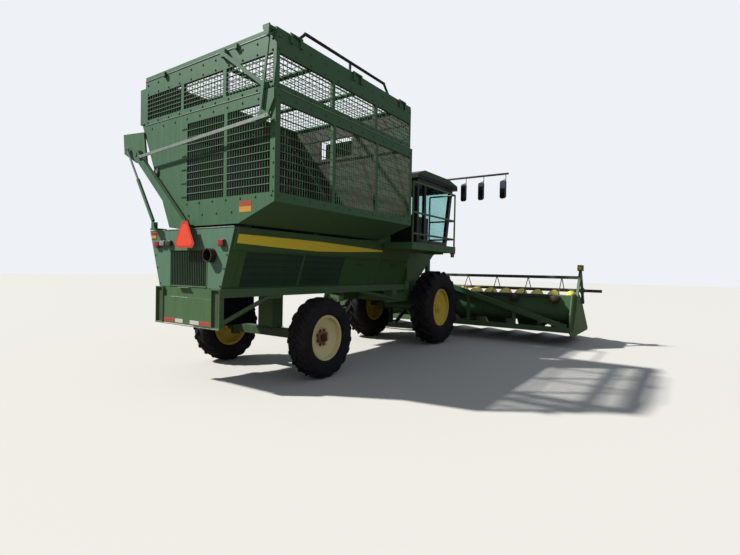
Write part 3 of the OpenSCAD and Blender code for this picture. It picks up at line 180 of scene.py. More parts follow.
def enamel(name, colour, dusty, roughness=0.42, dust=0.45, chips=0.5, rust=None):
    """Sprayed machine enamel over steel: slightly glossy, dusty on top and low down.
    Where a wheel's centre is given as rust, its hub has rusted through the paint."""
    material, tree, place = new_material(name)
    normal = add(tree, "ShaderNodeNewGeometry").outputs["Normal"]
    up = add(tree, "ShaderNodeSeparateXYZ", {0: normal}).outputs["Z"]
    height = add(tree, "ShaderNodeSeparateXYZ", {0: place}).outputs["Z"]
    # Cloudy fading, patches about 0.6 m across
    fade = blend(tree, noise(tree, place, 1.7, 5.0, 0.6), colour, dusty)
    tone = blend(tree, 0.35, colour, fade)
    # Dust film: streaks about 40 mm apart that run down the plates
    run = add(tree, "ShaderNodeMapping", {"Vector": place, "Scale": (14.0, 14.0, 1.6)})
    streak = noise(tree, run.outputs[0], 1.6, 6.0, 0.65)
    low = ramp(tree, height, 2.2, 0.2, 0.0, 0.15)
    top = ramp(tree, up, 0.25, 0.95, 0.0, 0.5)
    film = work_out(tree, "ADD", work_out(tree, "ADD", low, top), 0.22)
    film = work_out(tree, "MULTIPLY", film, streak)
    film = work_out(tree, "MULTIPLY", film, dust * 2.0, use_clamp=True)
    coat = blend(tree, film, tone, "#a8987c")
    # Stone chips, 3 to 8 mm, that show the pale primer
    chip = ramp(tree, noise(tree, place, 60.0, 3.0), 0.735, 0.76, 0.0, chips)
    worn = blend(tree, chip, coat, "#8f9a86")
    if rust:
        arm = add(tree, "ShaderNodeVectorMath", {0: place, 1: rust}, operation="SUBTRACT")
        arm = add(tree, "ShaderNodeVectorMath", {0: arm.outputs[0], 1: (1, 0, 1)},
                  operation="MULTIPLY")
        reach = add(tree, "ShaderNodeVectorMath", {0: arm.outputs[0]}, operation="LENGTH")
        # Blisters about 30 mm across at the stain's edge
        ragged = work_out(tree, "MULTIPLY", noise(tree, place, 33.0, 4.0), 0.12)
        edge = work_out(tree, "ADD", reach.outputs["Value"], ragged)
        worn = blend(tree, ramp(tree, edge, 0.15, 0.22, 0.9, 0.0), worn, "#7a4a26")
    return surface(material, {
        "Base Color": worn, "Specular IOR Level": 0.4,
        "Roughness": ramp(tree, streak, 0.3, 0.7, roughness, roughness + 0.2),
        "Normal": relief(tree, noise(tree, place, 9.0), 0.12, 0.006)})


def coat_node(name, material):
    """Gives a CAD node its finish."""
    for entry in nodes[name].material_slots:
        entry.material = material


def overpaint(material, mask, colour):
    """Lays a second colour over a finish, as thickly as a mask says."""
    tree = material.node_tree
    paint = next(n for n in tree.nodes if n.type == "BSDF_PRINCIPLED").inputs["Base Color"]
    tree.links.new(blend(tree, mask, paint.links[0].from_socket, colour), paint)
    return material


def banded(material, edge, colour, above=True):
    """Paints what lies above, or below, a height in metres in a second colour."""
    tree = material.node_tree
    place = next(n for n in tree.nodes if n.type == "TEX_COORD").outputs["Object"]
    height = add(tree, "ShaderNodeSeparateXYZ", {0: place}).outputs["Z"]
    mask = work_out(tree, "GREATER_THAN" if above else "LESS_THAN", height, edge)
    return overpaint(material, mask, colour)


green_enamel = enamel("green_machine_enamel", "#2a6338", "#3f7249")
dark_enamel = enamel("shaded_green_enamel", "#1f4a2a", "#2f5a39", dust=0.3)
coat_node("main_frame", green_enamel)
coat_node("axles", dark_enamel)


def clear():
    """Takes everything out of the selection."""
    for thing in bpy.context.selected_objects:
        thing.select_set(False)


def pick(things):
    """Selects some pieces, the first of them active."""
    clear()
    for thing in things:
        thing.select_set(True)
    bpy.context.view_layer.objects.active = things[0]


def join(things):
    """Joins pieces of one kind into one mesh."""
    pick(things)
    if len(things) > 1:
        bpy.ops.object.join()
    return bpy.context.object


def settle(piece, name, material, body, smooth=True):
    """Names a finished piece, applies its place, coats it and lets it ride on a body."""
    pick([piece])
    bpy.ops.object.transform_apply(location=True, rotation=True, scale=True)
    if smooth:
        bpy.ops.object.shade_smooth_by_angle(angle=math.radians(35))
    piece.name = name
    piece.data.name = name
    piece.data.materials.clear()
    piece.data.materials.append(material)
    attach(piece, body)
    return piece


def apply_modifier(piece, kind, **settings):
    """Shapes a piece by a modifier and applies it at once."""
    pick([piece])
    modifier = piece.modifiers.new(kind.lower(), kind)
    for key, value in settings.items():
        setattr(modifier, key, value)
    bpy.ops.object.modifier_apply(modifier=modifier.name)
    return piece


def slab(low, high, edge=0.003, segments=2):
    """A plate or block from its low and high corners, its edges rounded."""
    clear()
    low, high = Vector(low), Vector(high)
    bpy.ops.mesh.primitive_cube_add(size=1, location=(low + high) / 2)
    piece = bpy.context.object
    piece.scale = high - low
    bpy.ops.object.transform_apply(location=False, rotation=False, scale=True)
    return apply_modifier(piece, "BEVEL", width=edge, segments=segments, limit_method="ANGLE")


def round_bar(start, end, diameter, sides=16, edge=0.0):
    """A round bar between two points, its ends chamfered where an edge is given."""
    clear()
    start, end = Vector(start), Vector(end)
    run = end - start
    bpy.ops.mesh.primitive_cylinder_add(vertices=sides, radius=diameter / 2, depth=run.length,
                                        location=(start + end) / 2,
                                        rotation=run.to_track_quat("Z", "Y").to_euler())
    piece = bpy.context.object
    if edge:
        apply_modifier(piece, "BEVEL", width=edge, segments=2, limit_method="ANGLE",
                       angle_limit=math.radians(60))
    return piece


def bolt_row(start, end, count, out, size=0.024):
    """Hexagon bolt heads with washers along a line, standing out of a plate."""
    start, end, out = Vector(start), Vector(end), Vector(out).normalized()
    heads = []
    for i in range(count):
        place = start.lerp(end, i / max(1, count - 1))
        heads.append(round_bar(place - out * 0.002, place + out * 0.003, size * 1.35, 12))
        heads.append(round_bar(place + out * 0.002, place + out * size * 0.45, size, 6,
                               size * 0.06))
    return join(heads)


# Bumper: two channel posts with bolt rows in their recess, a folded panel between them,
# a bright lower lip, partly worn metal and partly a painted highlight, and red and white
# tape along the panel's foot.

BUMPER_X = -5540
BACK = (-1, 0, 0)
bumper, recess_shades = [], []
for side, middle in ((-1, -614), (1, 626)):
    x = BUMPER_X + 29
    for y in (562, 668):
        bumper.append(bolt_row(spot(x, side * y, 840), spot(x, side * y, 1265), 10, BACK, 0.016))
    x = BUMPER_X + 35
    bumper.append(bolt_row(spot(x, side * 701, 850), spot(x, side * 701, 1260), 6, (0, side, 0),
                           0.018))
    # Painted shade: a dark plate on the floor of each post's recess
    recess_shades.append(slab(spot(BUMPER_X + 27, middle - 44, 815),
                         spot(BUMPER_X + 31, middle + 44, 1280), 0.001, 1))
settle(join(bumper), "bumper_bolts", green_enamel, "chassis")
settle(join(recess_shades), "bumper_recess_painted_shade", enamel("recess_painted_shade_enamel", "#173a24", "#24482f"),
       "chassis")
tab = slab(spot(BUMPER_X - 8, -60, 1292), spot(BUMPER_X + 32, 180, 1299), 0.002)
lip = join([slab(spot(BUMPER_X - 6, -700, 790), spot(BUMPER_X + 4, 700, 801), 0.002),
            slab(spot(BUMPER_X + 12, -20, 1161), spot(BUMPER_X + 16, 340, 1167), 0.001, 1), tab])


def bright_metal(name, dull, clean, scale, roughness, metallic):
    """Bare bright metal or silvering, clouded in two tones."""
    material, tree, place = new_material(name)
    tone = blend(tree, noise(tree, place, scale, 4.0), dull, clean)
    return surface(material, {"Base Color": tone, "Roughness": roughness, "Metallic": metallic})


# Bright metal for edges: partly wear, partly a painted highlight where the edges meet the light
# Stains about 45 mm across, so that the edges look rubbed and not plated
wear_and_highlight_metal = bright_metal("wear_and_painted_highlight", "#7f9183", "#c8cbbd", 22.0, 0.38, 0.6)
settle(lip, "bumper_lip", wear_and_highlight_metal, "chassis")


def plastic(name, colour, roughness=0.35, grain=0.15, dust=0.25):
    """Moulded plastic or printed film: one colour, a fine grain and a little dust."""
    material, tree, place = new_material(name)
    film = work_out(tree, "MULTIPLY", noise(tree, place, 30.0, 5.0), dust)
    return surface(material, {
        "Base Color": blend(tree, film, colour, "#a39478"), "Roughness": roughness,
        "Normal": relief(tree, noise(tree, place, 600.0), grain, 0.001)})


red_film = plastic("red_reflective_film", "#b5402c")
white_film = plastic("white_reflective_film", "#d9d6cc")
amber_film = plastic("amber_reflective_film", "#d99a35")
tape = {"red_film": [], "white_film": []}
for name, y0, y1 in (("red_film", 265, 522), ("white_film", 75, 250), ("white_film", -272, -80),
                     ("red_film", -522, -285)):
    tape[name].append(slab(spot(BUMPER_X + 13, y0, 822), spot(BUMPER_X + 16, y1, 872), 0.0008, 1))
for name, film in (("red_film", red_film), ("white_film", white_film)):
    settle(join(tape[name]), "bumper_" + name, film, "chassis", False)

# Hood: sloping sheet-steel sides over the engine. Each side has a proud band along its
# top with a bare yellow stripe, two perforated screens and two flat doors.

hood_enamel = enamel("hood_green_enamel", "#225c2c", "#33693a", dust=0.35)


def toned_facing(material, centre, colour, amount):
    """Tones the faces that look towards a centre in a second colour."""
    tree = material.node_tree
    where = next(n for n in tree.nodes if n.type == "TEX_COORD")
    inward = add(tree, "ShaderNodeVectorMath", {0: centre, 1: where.outputs["Object"]},
                 operation="SUBTRACT")
    facing = add(tree, "ShaderNodeVectorMath", {0: inward.outputs[0], 1: where.outputs["Normal"]},
                 operation="DOT_PRODUCT")
    mask = ramp(tree, facing.outputs["Value"], 0.0, 0.05, 0.0, amount)
    return overpaint(material, mask, colour)


# Painted sunlight: rear-facing faces are painted a paler, bluer green than the sides
FAR_BEHIND = spot(-200000, 0, 1500)
coat_node("hood", toned_facing(enamel("rear_painted_sunlight_enamel", "#225c2c", "#33693a", dust=0.35),
                               FAR_BEHIND, "#6d937f", 0.55))


def perforated(name, colour, hole, pitch):
    """Punched steel sheet in green paint: round holes in a staggered pattern, drawn
    coarser than the real 5 mm so that they show."""
    material, tree, place = new_material(name)
    cells = add(tree, "ShaderNodeTexVoronoi", {"Vector": place, "Scale": 1 / pitch,
                "Randomness": 0.0})
    # The holes are painted near black: painted shade for the dark behind the sheet
    holes = ramp(tree, cells.outputs["Distance"], hole, hole + 0.08, 1.0, 0.0)
    film = ramp(tree, noise(tree, place, 2.0, 5.0), 0.4, 0.75, 0.0, 0.35)
    sheet = blend(tree, film, colour, "#3c5a40")
    return surface(material, {
        "Base Color": blend(tree, holes, sheet, "#0c1410"), "Roughness": 0.6,
        "Normal": relief(tree, holes, 0.5, 0.004, invert=True)})


coat_node("screens", perforated("punched_screen_sheet", "#17402a", 0.28, 0.03))

HOOD_Z0, HOOD_Z1 = 1300, 2075
HOOD_HALF_LOW, HOOD_HALF_TOP = 670, 925
HOOD_SLOPE = math.atan2(HOOD_HALF_TOP - HOOD_HALF_LOW, HOOD_Z1 - HOOD_Z0)


def hood_half(z):
    """Half the hood's width at a height, in millimetres."""
    return HOOD_HALF_LOW + (HOOD_HALF_TOP - HOOD_HALF_LOW) * (z - HOOD_Z0) / (HOOD_Z1 - HOOD_Z0)


def hood_side(x, z, side, out=0):
    """A place on the hood's side, or on its band, and out from it, in millimetres."""
    return spot(x, side * (hood_half(z) + out * math.cos(HOOD_SLOPE)),
                z - out * math.sin(HOOD_SLOPE))


def outline(points, depth, out):
    """A flat plate from its corners, given thickness against its outward direction."""
    clear()
    bpy.ops.mesh.primitive_circle_add(vertices=len(points), radius=1, fill_type="NGON")
    piece = bpy.context.object
    for vertex, point in zip(piece.data.vertices, points):
        vertex.co = point
    piece.data.update()
    if piece.data.polygons[0].normal.dot(Vector(out)) < 0:
        piece.data.flip_normals()
    return apply_modifier(piece, "SOLIDIFY", thickness=depth, offset=-1)


yellow_enamel = enamel("yellow_stripe_film", "#ffe93a", "#fff066", 0.38, 0.1, 0.15)
stripe = ((-5440, 1994), (-3940, 1990), (-2200, 1936), (-2188, 1912), (-2500, 1900),
          (-3200, 1868), (-3940, 1846), (-4700, 1862), (-5440, 1884))
BAND_OUT = 30.5
stripes = []
for side in (-1, 1):
    stripes.append(outline([hood_side(x, z, side, BAND_OUT) for x, z in stripe], 0.0025,
                           (0, side, -0.3)))
settle(join(stripes), "side_stripes", yellow_enamel, "chassis", False)

# Hood posts: folded sheet flanges between the openings, bolts at the rear corners, and
# the deck's rear edge, bright metal that is partly wear and partly a painted highlight.

HOOD_X = -5500
posts = []
for side in (-1, 1):
    for x, half in ((-5300, 28), (-4150, 18), (-3160, 16), (-2230, 40), (-1160, 20)):
        face = [hood_side(x + dx, z, side, 4) for dx, z in
                ((-half, 1302), (half, 1302), (half, 1788), (-half, 1788))]
        posts.append(outline(face, 0.006, (0, side, -0.3)))
settle(join(posts), "hood_posts", hood_enamel, "chassis", False)
edge = slab(spot(HOOD_X - 6, -915, 2066), spot(HOOD_X + 8, 915, 2078), 0.003)
settle(edge, "deck_edge", wear_and_highlight_metal, "chassis")
bolts = []
for side in (-1, 1):
    bolts.append(bolt_row(hood_side(-5470, 1330, side, 0), hood_side(-5470, 1750, side, 0), 4,
                          (0, side, -0.36), 0.02))
    for z in (1340, 1560, 1730):
        place = spot(HOOD_X - 1, side * (hood_half(z) - 30), z)
        bolts.append(bolt_row(place, place, 1, BACK, 0.02))
settle(join(bolts), "hood_bolts", green_enamel, "chassis")

# Rear panel: a radiator screen of upright ribs, two red lamps, work lamps, a two-colour
# reflector on the left, and the orange emblem of a slow vehicle, which stands out on a
# bracket.

RIBS = 21
ribs = []
for i in range(RIBS):
    y = -370 + i * 756 / (RIBS - 1)
    ribs.append(slab(spot(HOOD_X + 4, y - 5, 1324), spot(HOOD_X + 16, y + 5, 1781), 0.002, 1))
frame_bars = [slab(spot(HOOD_X - 5, y0, z0), spot(HOOD_X + 1, y1, z1), 0.001, 1)
              for y0, z0, y1, z1 in ((-399, 1306, 414, 1320), (-399, 1785, 414, 1799),
                                     (-399, 1306, -385, 1799), (400, 1306, 414, 1799))]
rib_enamel = enamel("dusty_rib_enamel", "#2a4c38", "#4a6450", dust=0.5)
settle(join(ribs), "radiator_ribs", rib_enamel, "chassis")
settle(join(frame_bars), "radiator_frame", green_enamel, "chassis")

lens_red = plastic("red_lamp_lens", "#a3202a", 0.15, 0.05, 0.15)
orange_film = plastic("orange_vehicle_emblem", "#fb4f2c", 0.4, 0.05, 0.05)
border_film = plastic("dark_red_emblem_border", "#c8432f", 0.35, 0.05, 0.1)
black_plastic = plastic("black_moulded_plastic", "#17181a", 0.45, 0.3, 0.25)
grey_lens = plastic("grey_lamp_lens", "#8d9490", 0.12, 0.05, 0.2)
emblem = [(-225, 1815), (125, 1815), (162, 1868), (10, 2165), (-110, 2165), (-262, 1868)]
centre = Vector((-50, 1950))
inner = [centre + (Vector(corner) - centre) * 0.8 for corner in emblem]
border = outline([spot(HOOD_X - 100, y, z) for y, z in emblem], 0.004, BACK)
middle = outline([spot(HOOD_X - 101.5, y, z) for y, z in inner], 0.004, BACK)
settle(border, "emblem_border", border_film, "chassis", False)
settle(middle, "emblem_middle", orange_film, "chassis", False)
settle(slab(spot(HOOD_X - 97, -60, 1840), spot(HOOD_X, 60, 1880)), "emblem_bracket",
       green_enamel, "chassis")
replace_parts(bpy.data.objects["emblem_border"], "rear_lamps")


def on_panel(out, y0, y1, z0, z1, edge, segments=3, base=0):
    """A lamp's block on the rear panel, that far out, from its base on the panel."""
    return slab(spot(HOOD_X - out, y0, z0), spot(HOOD_X - base, y1, z1), edge, segments)


lenses, housings = [], []
for y in (-700, 705):
    housings.append(on_panel(26, y - 54, y + 54, 1832, 1920, 0.006))
    lenses.append(on_panel(44, y - 50, y + 50, 1836, 1916, 0.008, base=25))
housings.append(on_panel(44, 365, 490, 1846, 1926, 0.012))
housings.append(on_panel(28, 515, 640, 1850, 1930, 0.01))
work_lens = on_panel(40, 521, 634, 1856, 1924, 0.006, base=27)
lenses.append(on_panel(8, 755, 882, 2005, 2045, 0.001, 1))
settle(join(housings), "lamp_bodies", black_plastic, "chassis")
settle(join(lenses), "lamp_lenses", lens_red, "chassis")
settle(work_lens, "work_lamp_lens", grey_lens, "chassis")
settle(on_panel(8, 755, 882, 1962, 2004, 0.001, 1), "rear_amber", amber_film, "chassis",
       False)

# Service doors: four flat doors of folded sheet in the hood's sides, hinged at their
# lower edges, in green enamel with a black recessed latch near the top.

latch = ((-60, 1655), (60, 1655), (75, 1668), (60, 1681), (-60, 1681), (-75, 1668))
for side_name, side in (("right", -1), ("left", 1)):
    for end_name, x0, x1 in (("rear", -3140, -2330), ("front", -2130, -1190)):
        body = f"service_door_{side_name}_{end_name}"
        coat_node(body, enamel(body + "_enamel", "#1f5c2a", "#2d6836", dust=0.25))
        middle = (x0 + x1) / 2
        plate = outline([hood_side(middle + dx, z, side, 14) for dx, z in latch], 0.012,
                        (0, side, -0.3))
        settle(plate, body + "_latch", black_plastic, body)

# Engine, gearbox and tank: only blocks behind the screens, in dull dark paint, and the
# exhaust pipe of brown heat-stained steel.


def bare_steel(name, colour, second, roughness, scale=12.0, metallic=0.9):
    """Uncoated or worn steel with stains."""
    material, tree, place = new_material(name)
    stain = noise(tree, place, scale, 6.0, 0.65)
    return surface(material, {
        "Base Color": blend(tree, stain, colour, second), "Metallic": metallic,
        "Roughness": ramp(tree, stain, 0.3, 0.7, roughness, roughness + 0.2),
        "Normal": relief(tree, stain, 0.15, 0.002)})


# Below 1.25 m the engine node is painted blue-black: painted shade under the frame rails
coat_node("engine", banded(bare_steel("heat_stained_steel_painted_shade", "#3a3430", "#5f5145", 0.5), 1.25,
                           "#12131b", above=False))

# Platforms, rails and ladder: folded sheet decks and round tube rails in green enamel,
# and an orange marker lamp under the right platform's edge.

coat_node("platforms", green_enamel)
coat_node("handrails", green_enamel)
marker = join([slab(spot(-545, -1545, 1925), spot(-495, -1455, 1946)),
               round_bar(spot(-520, -1500, 1860), spot(-520, -1500, 1926), 0.075, 24, 0.008)])
settle(marker, "platform_marker_lamp", plastic("orange_lamp_lens", "#b4522c", 0.25, 0.05, 0.3),
       "chassis")

# Cab: a welded frame of black pillars with tinted glass, a green roof cap over a black
# visor, and inside a seat with padded cushions and moulded controls.

coat_node("cab_frame", plastic("black_cab_coating", "#101316", 0.35, 0.1, 0.06))
coat_node("cab_door", plastic("black_door_coating", "#101316", 0.3, 0.1, 0.06))
coat_node("cab_roof", banded(enamel("roof_green_enamel", "#1f4630", "#2f5a40", dust=0.3), 3.56,
                             "#121514", above=False))


def tinted_glass(name, colour):
    """Toughened safety glass, green-grey in the mass, mirrored on outer faces, dusty."""
    material, tree, place = new_material(name)
    film = ramp(tree, noise(tree, place, 3.0, 6.0), 0.35, 0.8, 0.01, 0.07)
    through = add(tree, "ShaderNodeBsdfTransparent", {"Color": linear(colour)})
    shine = add(tree, "ShaderNodeBsdfPrincipled", {"Base Color": linear("#0f1a1a"),
                "Roughness": 0.06, "IOR": 1.5})
    mirrored = add(tree, "ShaderNodeFresnel", {"IOR": 1.5}).outputs[0]
    inner = add(tree, "ShaderNodeNewGeometry").outputs["Backfacing"]
    glare = work_out(tree, "MULTIPLY", mirrored, work_out(tree, "SUBTRACT", 1.0, inner))
    gloss = add(tree, "ShaderNodeMixShader", {0: glare, 1: through.outputs[0],
                2: shine.outputs[0]})
    dust = add(tree, "ShaderNodeBsdfDiffuse", {"Color": linear("#9da59a")})
    mixed = add(tree, "ShaderNodeMixShader", {0: film, 1: gloss.outputs[0], 2: dust.outputs[0]})
    add(tree, "ShaderNodeOutputMaterial", {"Surface": mixed.outputs[0]})
    return material


cab_tint = tinted_glass("tinted_cab_glass", "#e6f5f4")
coat_node("cab_glass", cab_tint)
coat_node("cab_door_glass", cab_tint)
coat_node("cab_controls", black_plastic)
seat_cloth = plastic("dark_seat_cloth", "#3b3733", 0.85, 0.6, 0.3)
coat_node("seat", seat_cloth)


def edit_mesh(piece, *steps):
    """Runs mesh operators, each with its settings, on the whole of a piece."""
    pick([piece])
    bpy.ops.object.mode_set(mode="EDIT")
    bpy.ops.mesh.select_all(action="SELECT")
    for operator, settings in steps:
        operator(**settings)
    bpy.ops.object.mode_set(mode="OBJECT")


def cushion(name, low, high, lean=0.0):
    """A crowned foam cushion between two corners, leaned back by an angle."""
    piece = slab(low, high, 0.02, 3)
    edit_mesh(piece, (bpy.ops.mesh.subdivide, {"number_cuts": 5}))
    apply_modifier(piece, "CAST", factor=0.10, cast_type="SPHERE")
    apply_modifier(piece, "SMOOTH", factor=0.5, iterations=4)
    piece.rotation_euler[1] = lean
    settle(piece, name, seat_cloth, "chassis")


cushion("seat_cushion", spot(-325, -245, 2672), spot(175, 245, 2745))
cushion("back_cushion", spot(-265, -225, 2745), spot(-205, 225, 3215), math.radians(-12))

# Mirrors: three tall heads on a long bar to the right and one to the left. Each is a
# rounded black shell round silvered glass that faces the rear and the driver, hung on
# a bent tube.

MIRROR_X = 972
coat_node("mirrors", black_plastic)
silver = bright_metal("silvered_mirror_glass", "#6f787a", "#9aa3a4", 8.0, 0.07, 1.0)


def rounded(half, z0, z1, radius, out, y, toe):
    """Corners of an upright rounded oblong, toed in, that far out from a head's middle."""
    points = []
    for turn in range(0, 360, 15):
        a = math.radians(turn)
        across = math.copysign(half - radius, math.cos(a)) + radius * math.cos(a)
        points.append(spot(MIRROR_X - out * math.cos(toe) + across * math.sin(toe),
                           y + out * math.sin(toe) + across * math.cos(toe),
                           (z1 - radius if turn < 180 else z0 + radius) + radius * math.sin(a)))
    return points


shells, glasses = [], []
for y in (-1055, -1480, -1990, 1160):
    toe = math.copysign(math.radians(22), -y)
    facing = (-math.cos(toe), math.sin(toe), 0)
    shell = outline(rounded(84, 3222, 3628, 55, 0, y, toe), 0.038, facing)
    shells.append(apply_modifier(shell, "BEVEL", width=0.008, segments=2, limit_method="ANGLE"))
    glasses.append(outline(rounded(74, 3234, 3616, 46, 1.5, y, toe), 0.001, facing))
    for start, end in (((1000, y - 62, 3768), (1000, y - 62, 3640)),
                       ((1000, y - 62, 3640), (985, y - 62, 3560)),
                       ((1000, y + 62, 3610), (1000, y - 62, 3650))):
        shells.append(round_bar(spot(*start), spot(*end), 0.016, 10))
shells.append(round_bar(spot(1000, -2110, 3770), spot(1000, 1260, 3770), 0.046, 20, 0.004))
for y in (-500, 500):
    shells.append(slab(spot(925, y - 25, 3640), spot(1015, y + 25, 3765), 0.006))
mirror_shells = settle(join(shells), "mirror_shells", black_plastic, "chassis")
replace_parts(mirror_shells, "mirrors")
settle(join(glasses), "mirror_glass", silver, "chassis")

# Duct: a closed channel folded from sheet steel in the machine's enamel. It leads from
# the header up behind the cab and into the basket.

coat_node("duct", green_enamel)

# Basket: green steel plate with bolted seams round big windows of welded wire. It tips
# over its left side about pins on two towers.

faded_green = ("#2c6540", "#44745a", 0.45, 0.4, 0.4)
basket_enamel = enamel("faded_basket_enamel", *faded_green)
# The faces that look towards the basket's middle are toned dark brown
shell_enamel = toned_facing(enamel("basket_shell_enamel", *faded_green),
                            spot(-3950, -300, 3200), "#3b2c24", 0.85)
coat_node("basket_lower", shell_enamel)
coat_node("basket_upper", shell_enamel)
for name in ("dump_towers", "lid_crank", "lid_rod"):
    coat_node(name, basket_enamel)
coat_node("basket_lid", banded(enamel("lid_enamel", *faded_green), 4.335, "#15181b"))
# The link is bright metal too: partly wear, partly a painted highlight
coat_node("lid_link", wear_and_highlight_metal)
wire_steel = enamel("dusty_wire_enamel", "#3d6f52", "#5f8368", 0.5, 0.5, 0.3)


def mesh_pane(corner, across, up, columns, rows, thickness):
    """Welded wire over one window: thin upright wires behind thicker level ones."""
    corner, across, up = Vector(corner), Vector(across), Vector(up)
    out = across.cross(up).normalized() * thickness
    wires = []
    for count, step, run, shift, size in ((columns, across, up, 0, thickness),
                                          (rows, up, across, 1, thickness * 1.5)):
        first = corner + step / count
        wire = round_bar(first + out * shift, first + run + out * shift, size, 6)
        turned_step = wire.matrix_world.to_3x3().inverted() @ (step / count)
        apply_modifier(wire, "ARRAY", count=count - 1, use_relative_offset=False,
                       use_constant_offset=True, constant_offset_displace=turned_step)
        wires.append(wire)
    return wires


def windows(start, end, count, post=60):
    """Starts and widths of like windows with posts between them, in millimetres."""
    width = (end - start - (count - 1) * post) / count
    return [(start + i * (width + post), width) for i in range(count)]


LOW_Z, LOW_RISE = 2440, (0, 0, 1.02)
UP_Z, UP_RISE = 3680, (0, 0, 0.34)
low_wires, up_wires = [], []
for x, width in windows(-5420, -2480, 3):
    run = (width / 1000, 0, 0)
    back = (-width / 1000, 0, 0)
    low_wires += mesh_pane(spot(x, -1581, LOW_Z), run, LOW_RISE, 22, 11, 0.008)
    up_wires += mesh_pane(spot(x, -1556, UP_Z), run, UP_RISE, 15, 6, 0.009)
    up_wires += mesh_pane(spot(x + width, 1118, UP_Z), back, UP_RISE, 15, 6, 0.009)
for y, width in windows(-1510, 60, 2):
    run = (0, -width / 1000, 0)
    low_wires += mesh_pane(spot(-5491, y + width, LOW_Z), run, LOW_RISE, 17, 11, 0.008)
for y, width in windows(-1510, 1070, 3):
    run = (0, -width / 1000, 0)
    up_wires += mesh_pane(spot(-5466, y + width, UP_Z), run, UP_RISE, 14, 6, 0.009)
low_mesh = settle(join(low_wires), "lower_wire_mesh", wire_steel, "basket")
up_mesh = settle(join(up_wires), "upper_wire_mesh", wire_steel, "basket")
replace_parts(low_mesh, "basket_lower_mesh")
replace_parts(up_mesh, "basket_upper_mesh")

# Bolted seams: rows of bolts beside the windows and along the edges of the plates, bright
# edges that are partly wear and partly a painted highlight, and on the rear plate a round
# lamp and a red and an amber film.

LOW_BACK_X, UP_BACK_X = -5501, -5476
LOW_SIDE_Y, UP_SIDE_Y = -1591, -1566
RIGHT = (0, -1, 0)
# Each row: where it starts and ends, how many bolts, where they point and their size
seams = [((-5440, LOW_SIDE_Y, z), (-2460, LOW_SIDE_Y, z), 12, RIGHT, 0.022) for z in (2395, 3530)]
seams += [((-5430, UP_SIDE_Y, z), (-2470, UP_SIDE_Y, z), 12, RIGHT, 0.022)
          for z in (3640, 4060, 4200)]
seams += [((LOW_BACK_X, y0, z), (LOW_BACK_X, y1, z), count, BACK, 0.022) for z, y0, y1, count in
          ((2405, -1540, 60, 7), (3530, -1300, 900, 9), (2250, -850, 300, 5))]
seams += [((UP_BACK_X, -1500, z), (UP_BACK_X, 1060, z), 11, BACK, 0.022)
          for z in (3645, 4055, 4180)]
seams += [((LOW_BACK_X, y, z0), (LOW_BACK_X, y, z1), 6, BACK, 0.02) for y, z0, z1 in
          ((95, 2500, 3400), (130, 2500, 3400), (165, 2500, 3400), (-1560, 2450, 3250))]
rows = [bolt_row(spot(*start), spot(*end), count, out, size)
        for start, end, count, out, size in seams]
settle(join(rows), "basket_bolts", basket_enamel, "basket")


def ring(centre, major, minor, out, sides=64):
    """A round ring about a centre, its axis along a direction."""
    clear()
    bpy.ops.mesh.primitive_torus_add(location=centre, major_radius=major, minor_radius=minor,
                                     major_segments=sides, minor_segments=8,
                                     rotation=Vector(out).to_track_quat("Z", "Y").to_euler())
    return bpy.context.object


# The basket's bright top edges: partly wear, partly a painted highlight
edges = [slab(spot(-5482, -1540, 4236), spot(-5474, 1120, 4246), 0.001, 1),
         slab(spot(-5506, -1540, 3592), spot(-5499, 1080, 3600), 0.001, 1),
         slab(spot(-5430, -1599, 3596), spot(-2400, -1589, 3603), 0.001, 1)]
settle(join(edges), "basket_wear_and_highlight_edges", wear_and_highlight_metal, "basket")
LAMP_Y, LAMP_Z = 769, 2900
round_lamp = join([round_bar(spot(-5512, LAMP_Y, LAMP_Z), spot(-5499, LAMP_Y, LAMP_Z), 0.11, 32,
                             0.004),
                   ring(spot(-5512, LAMP_Y, LAMP_Z), 0.052, 0.007, BACK, 40)])
settle(round_lamp, "basket_round_lamp", black_plastic, "basket")
settle(round_bar(spot(-5514, LAMP_Y, LAMP_Z), spot(-5511, LAMP_Y, LAMP_Z), 0.05, 24),
       "basket_lamp_lens", grey_lens, "basket")
for name, film, z0, z1 in (("basket_red_film", red_film, 2300, 2365),
                           ("basket_amber_film", amber_film, 2235, 2300)):
    corners = ((-1210, z0), (-1000, z0), (-1000, z1), (-1210, z1))
    piece = outline([spot(-5502, y, z) for y, z in corners], 0.002, BACK)
    settle(piece, name, film, "basket", False)

# Cylinders: the dump cylinders' barrels are painted like the basket and the header's
# lift cylinders black, and all rods are ground steel with hard chrome.

coat_node("dump_barrels", basket_enamel)
chrome = bare_steel("chromed_rod", "#b9bcbe", "#d5d7d8", 0.12, 4.0, 1.0)
coat_node("dump_rods", chrome)
coat_node("lift_rods", chrome)
coat_node("lift_barrels", black_plastic)

# Wheels: bias-ply farm tyres with a dusty tread on pressed steel discs. The front rims
# and the left rear one are machine yellow, the right rear one has faded paler and
# its hub has rusted.


def tyre_rubber(name):
    """Black farm rubber, greyed by the sun and in patches brown with soil."""
    material, tree, place = new_material(name)
    film = ramp(tree, noise(tree, place, 6.0, 8.0, 0.7), 0.42, 0.72, 0.0, 0.55)
    return surface(material, {
        "Base Color": blend(tree, film, "#1c1c24", "#40382f"), "Roughness": 0.82,
        "Normal": relief(tree, noise(tree, place, 80.0, 5.0), 0.35, 0.004),
        "Specular IOR Level": 0.35})


